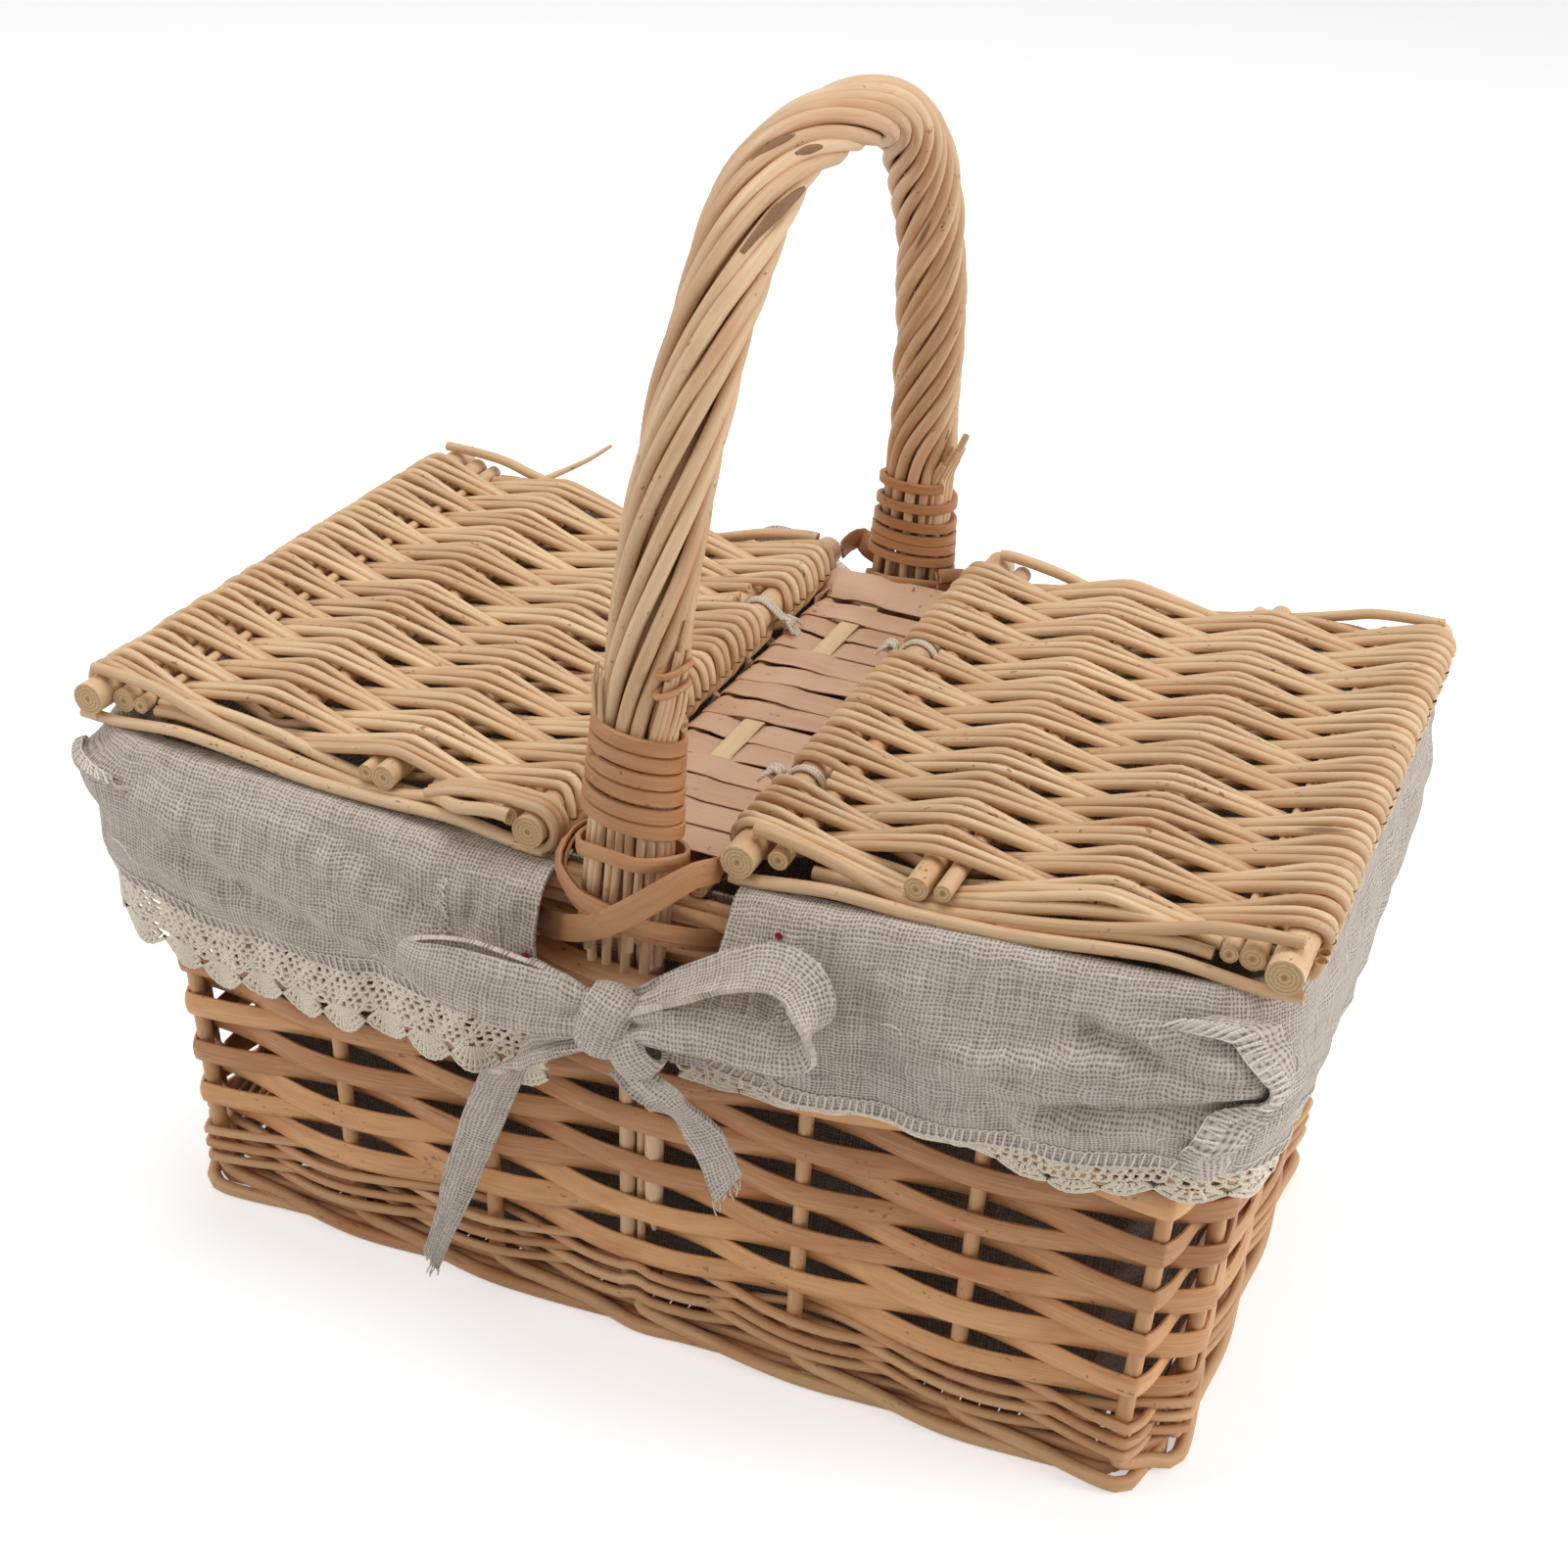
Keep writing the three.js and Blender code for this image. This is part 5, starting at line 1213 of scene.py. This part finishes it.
def cuff_profile(name, rise, tilt, s, x):
    """The cuff's line from inside the rim, over it and down to its hem, as distance out and height."""
    crest = max(189.1, RIM_Z + rise + (abs(x) - HINGE_X) * math.tan(math.radians(tilt)) - 11)
    near = min(s, CUFF_LENGTH - s)
    hem = np.interp(near, *HEM_LINE[name]) + 1.1 * math.sin(2 * math.pi * s / 44)
    drop = RIM_EDGE_Z - hem
    flat = float(ease((near - 150) / 40))
    return [
        (-10, 189.1), (-3.7, crest), (5.3, crest), (12 - 2 * flat, RIM_EDGE_Z),
        (15 - 4.5 * flat, RIM_EDGE_Z - 0.26 * drop), (14 - 4.5 * flat, RIM_EDGE_Z - 0.53 * drop),
        (9 - 2.5 * flat, hem),
    ]


print("lowest hem:", min(min(line[1]) for line in HEM_LINE.values()), "mm up")

# %% Folds of the cuffs
FOLDS = {
    "left": [
        (132, 12, 58, 40, 2.6, 7), (122, 25, 56, 52, -2.3, 6), (98, 6, 36, 30, 2.3, 8),
        (72, 3, 26, 24, -1.9, 5), (142, 31, 86, 50, 1.8, 6), (163, 0, 162, 6, 3.6, 9),
        (163, 6, 150, 32, 2.0, 6), (160, 5, 128, 18, 1.7, 5), (172, 20, 150, 26, -3.2, 8),
        (20, 8, 22, 44, -1.3, 3), (12, 4, 10, 40, 1.2, 6), (205, 4, 212, 46, 1.8, 8),
        (232, 2, 228, 48, -1.6, 8), (256, 4, 262, 48, 1.6, 9),
    ],
    "right": [
        (112, -4, 151, 11, 4.0, 4.5), (120, 10, 152, 13, -4.4, 4), (84, 26, 156, 11, 4.2, 4),
        (98, 32, 157, 17, 2.6, 3.5), (112, 39, 158, 24, -5.4, 4), (104, 45, 150, 31, 3.8, 4.5),
        (24, 2, 22, 40, 1.2, 2.5), (36, 6, 40, 44, -1.3, 5), (62, 12, 84, 46, 1.6, 9),
        (52, 30, 98, 44, -1.5, 6), (162, 6, 160, 44, 2.4, 6), (176, 4, 182, 40, -2.0, 7),
        (205, 4, 214, 46, 1.4, 9), (236, 2, 230, 48, -1.5, 9), (262, 4, 266, 48, 1.4, 9),
    ],
}


def cuff_folds(name, s, d):
    """How far the folds push the cloth out, at s along the cuff and d down from the rim's edge."""
    near = np.minimum(s, CUFF_LENGTH - s)
    push = 0.5 * np.sin(near / 4.1 + d / 9) * np.sin(d / 7.5 - near / 23)
    push = push + 0.35 * np.sin(near / 2.3 - d / 3.7)
    for s0, d0, s1, d1, size, width in FOLDS[name]:
        run = np.array((s1 - s0, d1 - d0), float)
        share = np.clip(((near - s0) * run[0] + (d - d0) * run[1]) / (run @ run), 0, 1)
        away = np.hypot(near - s0 - share * run[0], d - d0 - share * run[1])
        push = push + size * np.exp(-((away / width) ** 2))
    return push * ease(d / 7)


print("folds:", {name: len(folds) for name, folds in FOLDS.items()})

# %% Cloth of both cuffs
CUFF_STOPS, CUFF_ROWS, CUFF_THICK = 320, 46, 1.2
CORNER_PULL, SLIT_SLIDE = 12, 5
cuffs = {}
for name, (side, rise, tilt, _) in LIDS.items():
    grid, normals = [], []
    for s in np.linspace(0, CUFF_LENGTH, CUFF_STOPS):
        x, y, nx, ny = cuff_station(side, s)
        out, z = smooth_line(cuff_profile(name, rise, tilt, s, x), 0.3).T
        length = np.concatenate([[0], np.cumsum(np.hypot(np.diff(out), np.diff(z)))])
        even = np.linspace(0, length[-1], CUFF_ROWS)
        edge = length[np.argmin(np.abs(out - 8) + (z < 180) * 50)]
        out, z = np.interp(even, length, out), np.interp(even, length, z)
        hung = np.maximum(even - edge, 0)
        out = out + cuff_folds(name, s, hung)
        out = np.where(even > edge, np.maximum(out, np.where(z > 174, 5.2, 3.4)), out)
        drop = hung / 55
        pulled = CORNER_PULL * math.exp(-(((s if side > 0 else CUFF_LENGTH - s) / 22) ** 2)) * drop**1.5
        x = x + SLIT_SLIDE * math.exp(-((s / 26) ** 2))
        grid.append(places(x + nx * out - side * pulled, y + ny * out, z + 0.4 * pulled * drop))
        normals.append((nx, ny, 0))
    grid = np.array(grid)
    girth = lengths_along(grid[:, CUFF_ROWS * 2 // 3])
    depth = np.concatenate([[0], np.cumsum(np.linalg.norm(np.diff(grid, axis=1), axis=2).mean(0))])
    cloth = Cloth(liner_cloth)
    cloth.sheet(grid if side > 0 else grid[::-1], CUFF_THICK, (girth, depth))
    piece = cloth.build(f"{name}_cuff_cloth", "linen", [f"{name}_cuff"])
    cuffs[name] = grid, np.array(normals), piece


# %% Places on a cuff
ROW_DROP = 1.95


def on_cuff(name, s, up, lift=0.95):
    """Place on the cuff's outer face, at s along it and up millimetres above its hem."""
    grid, normals, _ = cuffs[name]
    s, up = np.broadcast_arrays(np.asarray(s, float), np.asarray(up, float))
    i = np.clip(s / CUFF_LENGTH, 0, 1) * (CUFF_STOPS - 1)
    j = CUFF_ROWS - 1 - up / ROW_DROP
    i0, j0 = np.clip(i.astype(int), 0, CUFF_STOPS - 2), np.clip(j.astype(int), 0, CUFF_ROWS - 2)
    a, b = (i - i0)[:, None], (j - j0)[:, None]
    upper, lower = (grid[i0, row] * (1 - a) + grid[i0 + 1, row] * a for row in (j0, j0 + 1))
    return upper * (1 - b) + lower * b + normals[i0] * lift


print("left hem begins at", on_cuff("left", [0], 0).round(1)[0])

# %% Stitches of the hem and the seams
HEM_HEIGHT, HEM_STEP, CHAIN_STEP, CHAINS = 6.2, 2.6, 0.9, ((6.2, 0.45), (0.3, 0.3))
STITCHED, SELVEDGE = {"left": 8, "right": 12}, {"left": 27, "right": 24}
LOOSE_THREADS = {
    "left": [(-172, -137, 155), (-175.5, -140, 159), (-178, -141.5, 164.5), (-182.5, -141, 166.5)],
    "right": [(57, -132.5, 186.5), (60, -134, 188), (63.5, -135.5, 189.5), (68, -135.5, 189)],
}
LINT = 14


def sew_hem(name):
    """Whip stitches and two chains along the hem, a seam at each end, lint and one loose thread."""
    sewn = Bundle(white_thread, white_thread)
    for s in np.arange(1, CUFF_LENGTH - 2, HEM_STEP):
        lean = rng.normal(1.0, 0.35)
        line = on_cuff(name, s + lean * np.linspace(0, 1, 4), np.linspace(0.2, HEM_HEIGHT, 4))
        sewn.cord(line, 0.36, False)
    chain = np.arange(0.5, CUFF_LENGTH - 0.5, CHAIN_STEP)
    for height, swing in CHAINS:
        sewn.cord(on_cuff(name, chain, height + swing * np.sin(chain * 2.4)), 0.3)
    for flip in (False, True):
        for up in np.arange(3, 56, 3.1):
            s = STITCHED[name] + 0.08 * up + wander(3, 0.15, 2)
            sewn.cord(on_cuff(name, CUFF_LENGTH - s if flip else s, up + np.linspace(0, 2.2, 3)), 0.26)
        for up in np.arange(2, 58, 0.7):
            s = SELVEDGE[name] + 0.05 * up + rng.normal(0, 0.3)
            s = s + np.array((0, 0.8, 1.6)) * rng.choice((-1, 1))
            lift = np.array((0.7, 1.3, 1.0 + 0.8 * rng.random()))[:, None]
            sewn.cord(on_cuff(name, CUFF_LENGTH - s if flip else s, up + rng.normal(0, 0.6, 3), lift), 0.24)
    sewn.cord(smooth_line(LOOSE_THREADS[name], 1.2), 0.32)
    for _ in range(LINT):
        s, up = rng.uniform(4, CUFF_LENGTH - 4), rng.uniform(6, 40)
        turn = rng.uniform(0, 6.3)
        r = np.linspace(0, rng.uniform(4, 9), 7)
        sewn.cord(on_cuff(name, s + r * np.cos(turn + r / 7), up + r * np.sin(turn + r / 7)), 0.22)
    return sewn.build(f"{name}_hem_stitches", "string")


# %% Turned corners
FLAPS = {
    "left": [(176, 48, 170, 53), (166, 50, 166, 56), (156, 50, 158, 56), (146, 51, 150, 56)],
    "right": [
        (152, 55, 140, 52), (164, 51, 153, 50), (166, 46, 156, 46), (168, 40, 159, 40), (169, 34, 161, 34),
        (166, 27, 158, 29), (160, 20, 152, 25), (157, 14, 149, 16), (157, 8, 149, 8), (157, 2, 150, 2),
    ],
}
FLAP_ROWS, FLAP_THICK = 9, 1.1
WHIP_AWAY = np.array((0.9, 1.0, 0.5, 0.5, 0.9))[:, None]
WHIP_OVER = np.array((0, 0, 0.7, 0.7, 0))[:, None]


def turn_corner(name):
    """The flap turned up at a corner, and the stitches over its edge."""
    root_s, root_up, tip_s, tip_up = smooth_line(FLAPS[name], 1.4).T
    root, tip = on_cuff(name, root_s, root_up, 0.4), on_cuff(name, tip_s, tip_up, 3.4)
    strip = np.linspace(0, 1, FLAP_ROWS)
    sheet = root[:, None] * (1 - strip)[None, :, None] + tip[:, None] * strip[None, :, None]
    outward = unit(np.cross(np.gradient(tip, axis=0), tip - root))
    outward = outward * np.sign((outward * unit(tip * (1, 1.6, 0))).sum(1, keepdims=True))
    sheet = sheet + outward[:, None] * (2.2 * np.sin(strip * np.pi) ** 0.8)[None, :, None]
    flap = Cloth(liner_cloth)
    flap.sheet(sheet, FLAP_THICK, (np.arange(len(root)) * 0.9, np.linspace(0, 9, FLAP_ROWS)))
    turned = flap.build(f"{name}_corner_seam", "linen")
    whip = Bundle(white_thread, white_thread)
    for i in range(0, len(root) - 3, 2):
        line = np.array([sheet[i, 5], sheet[i, 7], sheet[i, 8], sheet[i + 2, 8], sheet[i + 3, 5]])
        whip.cord(line + outward[i] * WHIP_AWAY + unit(tip[i] - root[i]) * WHIP_OVER, 0.4)
    return turned, whip.build(f"{name}_seam_stitches", "string")


# %% Red stitches, and all the sewing
RED_SPOTS = {"left": (2.5, 37), "right": (19, 60)}


def red_stitch(name):
    """A small red cross of thread beside the slit."""
    spot = Bundle(red_thread, red_thread)
    middle = on_cuff(name, *(np.full(1, v) for v in RED_SPOTS[name]), 1.2)[0]
    for turn in (0.3, 1.4, 2.5):
        reach = 1.1 * np.array((math.cos(turn), 0, math.sin(turn)))
        spot.cord(np.stack([middle - reach, middle + (0, -0.4, 0), middle + reach]), 0.5)
    return spot.build(f"{name}_red_stitch", "string")


for name in LIDS:
    hem = sew_hem(name)
    turned, overcast = turn_corner(name)
    dot = red_stitch(name)

# %% [markdown]
# ## Lace edge
# A cotton lace is sewn under the hem. It is crochet work: a heading with posts, rows of net and a
# scalloped edge of small fans. A cut-out texture would look flat from the side, so the yarn is laid
# as thin cords over a hanging band.

# %% Lace
LACE_YARN, LACE_STEP, SCALLOP, NET_SHARE, NET_TOP = 0.66, 0.55, 16, 0.65, 0.03
LACE_ROWS, FAN_STEP = {"left": 7, "right": 3}, {"left": 1, "right": 2}
FAN_ROWS = {"left": (0.45, 0.78, 1.0), "right": (0.55, 1.0)}
LACE_DROP = {
    "left": ([0, 150, 180, 560], [27, 25, 21, 23]),
    "right": ([0, 16, 30, 86, 104, 176, 200, 560], [11, 9, 3.5, 3.5, 12, 13, 8, 8]),
}


def lace_place(name, s, share):
    """Place on the hanging lace at s along the hem and a share of its drop."""
    s, share = np.broadcast_arrays(np.asarray(s, float), np.asarray(share, float))
    drop = np.interp(s, *LACE_DROP[name])
    top = on_cuff(name, s, 0.2, -0.9)
    inward = unit(-top * (1, 1.6, 0))
    sway = 1.6 * share + 0.5 * np.sin(s / 7) * share + 0.4 * np.sin(s / 2.7)
    return top + inward * sway[:, None] - np.array((0, 0, 1)) * (drop * share)[:, None]


for name in LIDS:
    lace = Bundle(lace_yarn, lace_yarn)
    step = np.arange(0.5, CUFF_LENGTH - 0.5, LACE_STEP)
    tier = NET_SHARE / LACE_ROWS[name]
    for row in range(LACE_ROWS[name]):
        share = NET_TOP + tier * row + wander(len(step), 0.012, 12)
        coil = 2 * np.pi * step / 3.1 + row + wander(len(step), 0.7, 14)
        along = step + 1.15 * np.sin(coil) + wander(len(step), 0.35, 10)
        lace.cord(lace_place(name, along, share + 0.55 * tier * np.cos(coil)), LACE_YARN)
    for row in range(LACE_ROWS[name] // 2):
        zig = NET_TOP + 0.22 * row + 0.2 * (0.5 + 0.5 * np.sin(2 * np.pi * step / 9.2 + np.pi * row))
        lace.cord(lace_place(name, step, zig), LACE_YARN)
    for middle in np.arange(8, CUFF_LENGTH - 8, SCALLOP):
        for k in range(-4, 5, FAN_STEP[name]):
            edge = 0.66 + 0.34 * math.cos(k * 0.33) ** 0.8 + rng.normal(0, 0.012)
            line = np.linspace(0, 1, 5)
            post = lace_place(name, middle + 0.7 * k + 1.05 * k * line, 0.6 + (edge - 0.6) * line)
            lace.cord(post, LACE_YARN * 1.2, False)
        sweep = np.linspace(-1, 1, 17)
        for grow in FAN_ROWS[name]:
            fan = 0.62 + (0.04 + 0.34 * np.cos(sweep * 1.32) ** 0.8) * grow + 0.012 * np.sin(sweep * 21)
            lace.cord(lace_place(name, middle + (3.0 + 4.9 * grow) * sweep, fan), LACE_YARN * 1.15, False)
    lace.build(f"{name}_lace_edge", "lace", [f"{name}_lace"])

# %% [markdown]
# ## Bows
# A linen ribbon closes the slit of the cuffs at each foot of the handle, tied in a bow. The loops and
# tails are strips of doubled linen that follow the lines seen in the picture, and the knot is a short
# length of the same ribbon wrapped round them.

# %% Ribbon
RIBBON_THICK, RIBBON_WIDTH = 1.9, 16


def ribbon(bundle, points, half, way, pinch, loop=False, cup=0.0, cut=0.0, narrow=(0.5, 0.1, 0.0), crush=1.3):
    """A ribbon of doubled linen along the points, its width lying in one way or turning between two.

    It is gathered by pinch at its knot, bent by cup at its edges and cut off at a slant. narrow is where it
    gets narrower, over what share and by how much. crush is the depth of its gathers.
    """
    path = smooth_line(points, 1.8)
    n = len(path)
    t = unit(np.gradient(path, axis=0))
    way = np.asarray(way, float)
    way = np.linspace(way[0], way[1], n) if way.ndim == 2 else np.broadcast_to(way, path.shape)
    side = unit(way - (way * t).sum(1, keepdims=True) * t)
    normal = np.cross(t, side)
    share = np.linspace(0, 1, n)[:, None]
    from_knot = np.minimum(share, 1 - share) * 2 if loop else share
    wide = half * (pinch + (1 - pinch) * ease(from_knot * 3)) * (1 + wander(n, 0.03, 9)[:, None])
    wide = wide * (1 - narrow[2] * np.exp(-(((share - narrow[0]) / narrow[1]) ** 2)))
    across = np.linspace(-1, 1, 11)
    gathers = crush * (1 - ease(from_knot * 2.2)) * np.cos(across * 5.5)
    crease = gathers - cup * across**2 + 0.35 * np.sin(share * 17) * across
    slant = cut * across * (share > 0.5) * ease(share * 3 - 2)
    grid = path[:, None] + side[:, None] * (wide * across)[..., None] + normal[:, None] * crease[..., None]
    grid = grid + t[:, None] * slant[..., None]
    length = lengths_along(path)
    bundle.sheet(grid, RIBBON_THICK, (length, half * across))
    return length[-1] * 2 * half, grid[-1]


# %% Turns of the knot
def knot_turn(bundle, middle, lean, high, deep, half):
    """One turn of ribbon round the knot, leaning by an angle."""
    a = np.linspace(-0.2, 2 * np.pi + 0.1, 40)
    up, along = np.array((-math.sin(lean), 0, math.cos(lean))), np.array((math.cos(lean), 0, math.sin(lean)))
    path = middle - np.outer(np.cos(a), (0, 1, 0)) * deep + np.outer(np.sin(a), up) * high
    return ribbon(bundle, path, half, along, 1.0, cup=-2.6, crush=0.2)[0]


# %% Bows
KNOT = np.array((8.5, -149, 155))
LEFT_LOOP = [
    (-4, -4, 6), (-18, -8, 7), (-34, -11, 8.5), (-50, -12, 9.8), (-63, -11, 10.2), (-71, -8, 9.8),
    (-73, -5, 9.5), (-70, -3, 9), (-55, -2, 8), (-32, -2, 6.5), (-4, -1, 5),
]
RIGHT_LOOP = [
    (3, 1, 8), (15, 2, 17), (26, 2, 24.5), (36, 2, 31), (48, 2, 36), (56.5, 1, 35.5), (62, -1, 31),
    (64, -3, 24), (62.5, -5, 17.5), (56, -6, 14.5), (45, -6, 13.5), (30, -5.5, 12.5), (14, -5, 9), (4, -3, 5),
]
LEFT_TAIL = [
    (-6, 0, -4), (-21, 1, -12), (-34, 5, -23), (-45, 10, -38), (-55, 15, -61), (-65, 18, -89),
    (-75, 21, -119), (-82, 23, -139),
]
RIGHT_TAIL = [(4, -4, -9), (11, -4, -15), (18, -1, -21), (24, 4, -29), (30, 8, -42), (35, 10, -56)]
FRAYED, FRAY_THREAD = 16, 0.24
for name, angle in (("front", 0), ("back", math.pi)):
    bow = Cloth(liner_cloth)
    area = ribbon(bow, LEFT_LOOP + KNOT, 10.6, (0, 0.2, 1), 0.62, True, -2.2, narrow=(0.5, 0.11, 0.55))[0]
    area += ribbon(bow, RIGHT_LOOP + KNOT, 7.4, ((0.1, 1, 0.4), (0, 0.3, 1)), 0.75, True, -0.9)[0]
    turning = ((0.4, 0, 1), (1, 0.1, -0.2))
    left = ribbon(bow, LEFT_TAIL + KNOT, 6.8, turning, 0.5, cup=0.9, cut=5, narrow=(1.0, 0.25, 0.5))
    slanted = (1, 0.1, 0.45)
    right = ribbon(bow, RIGHT_TAIL + KNOT, 6.3, slanted, 0.95, cup=0.6, cut=-5, narrow=(0.42, 0.12, 0.3))
    area += left[0] + right[0]
    for side, low in ((-1, 157), (1, 148)):
        strap = [(8.5 + side * 3, -147.5, 157.5), (side * 13 + 5, -144, 0.5 * low + 79)]
        strap += [(side * 24 + 2, -140, low + 1), (side * 34, -137.5, low)]
        area += ribbon(bow, strap, 6.4, (0, 0, 1), 0.8)[0]
    area += knot_turn(bow, KNOT + (-3, -1, 3.0), -0.32, 12.6, 8.2, 7.4)
    area += knot_turn(bow, KNOT + (7.0, -1.5, -3.5), 0.55, 9.4, 7.0, 6.4)
    turned = Matrix.Rotation(angle, 4, "Z")
    piece = bow.build(f"{name}_bow_ribbon", "linen", [f"{name}_bow"], place=turned)
    frayed = Bundle(tie_string, tie_string)
    for end, way in ((left[1], (-0.25, 0.1, -1)), (right[1], (0.2, 0, -1))):
        for spot in np.linspace(0, len(end) - 1, FRAYED):
            root = end[int(spot)] + rng.normal(0, 0.4, 3)
            run = np.array(way) * rng.uniform(1.5, 5.5) + rng.normal(0, 0.8, 3)
            frayed.cord(np.stack([root, root + run * 0.5 + rng.normal(0, 0.3, 3), root + run]), FRAY_THREAD)
    fringe = frayed.build(f"{name}_bow_fray", "linen", place=turned)

# %% [markdown]
# ## Floor and light
# The basket stands on a plain white floor under a broad soft light from above, with a second lamp on
# the right and a weak one at the left front, so the front wall lies in a mild shade. The floor shows
# white to the camera and still keeps the shadow.

# %% Floor
SPAN = 6.0


def seen_directly(graph):
    """1 for the camera and for mirrored or bent rays, 0 for light that falls on things."""
    ray = graph.node("ShaderNodeLightPath").outputs
    mirrored = graph.larger(ray["Is Glossy Ray"], ray["Is Transmission Ray"])
    return graph.larger(ray["Is Camera Ray"], mirrored)


mesh = bpy.data.meshes.new("floor")
mesh.from_pydata([(-SPAN, -SPAN, 0), (SPAN, -SPAN, 0), (SPAN, SPAN, 0), (-SPAN, SPAN, 0)], [], [(0, 1, 2, 3)])
floor = bpy.data.objects.new("floor", mesh)
bpy.context.collection.objects.link(floor)
white, graph, shader = new_material("white_floor")
set_inputs(shader, {"Base Color": (0.86, 0.86, 0.86, 1), "Roughness": 0.9})
glow = graph.node("ShaderNodeEmission", {"Color": (1, 1, 1, 1), "Strength": 0.5})
both = graph.node("ShaderNodeAddShader", {0: shader.outputs[0], 1: glow.outputs[0]})
feed = {0: seen_directly(graph), 1: shader.outputs[0], 2: both.outputs[0]}
shown = graph.node("ShaderNodeMixShader", feed)
graph.link(shown.outputs[0], graph.tree.nodes["Material Output"].inputs["Surface"])
mesh.materials.append(white)
print("floor:", 2 * SPAN, "m wide")


# %% Lamps and world
def soft_lamp(name, place, aim, size, watts):
    lamp = bpy.data.lights.new(name, "AREA")
    lamp.shape = "DISK"
    lamp.size = size
    lamp.energy = watts
    thing = bpy.data.objects.new(name, lamp)
    thing.location = place
    thing.rotation_euler = (Vector(aim) - Vector(place)).to_track_quat("-Z", "Y").to_euler()
    bpy.context.collection.objects.link(thing)


soft_lamp("overhead", (-0.1, 0.25, 2.2), (0, 0, 0.2), 1.5, 22.5)
soft_lamp("right_side", (2.2, 0.2, 1.0), (0, 0, 0.15), 1.3, 26)
soft_lamp("left_fill", (-1.3, -0.9, 0.9), (0, 0, 0.15), 0.8, 7)
world = bpy.data.worlds.new("studio")
bpy.context.scene.world = world
world.use_nodes = True
graph = Graph(world.node_tree)
sky = graph.tree.nodes["Background"].inputs
sky["Color"].default_value = (1, 1, 1, 1)
graph.link(graph.between(seen_directly(graph), 0.0, 1.0, 0.3, 1.0), sky["Strength"])
print("lamps:", len(bpy.data.lights))
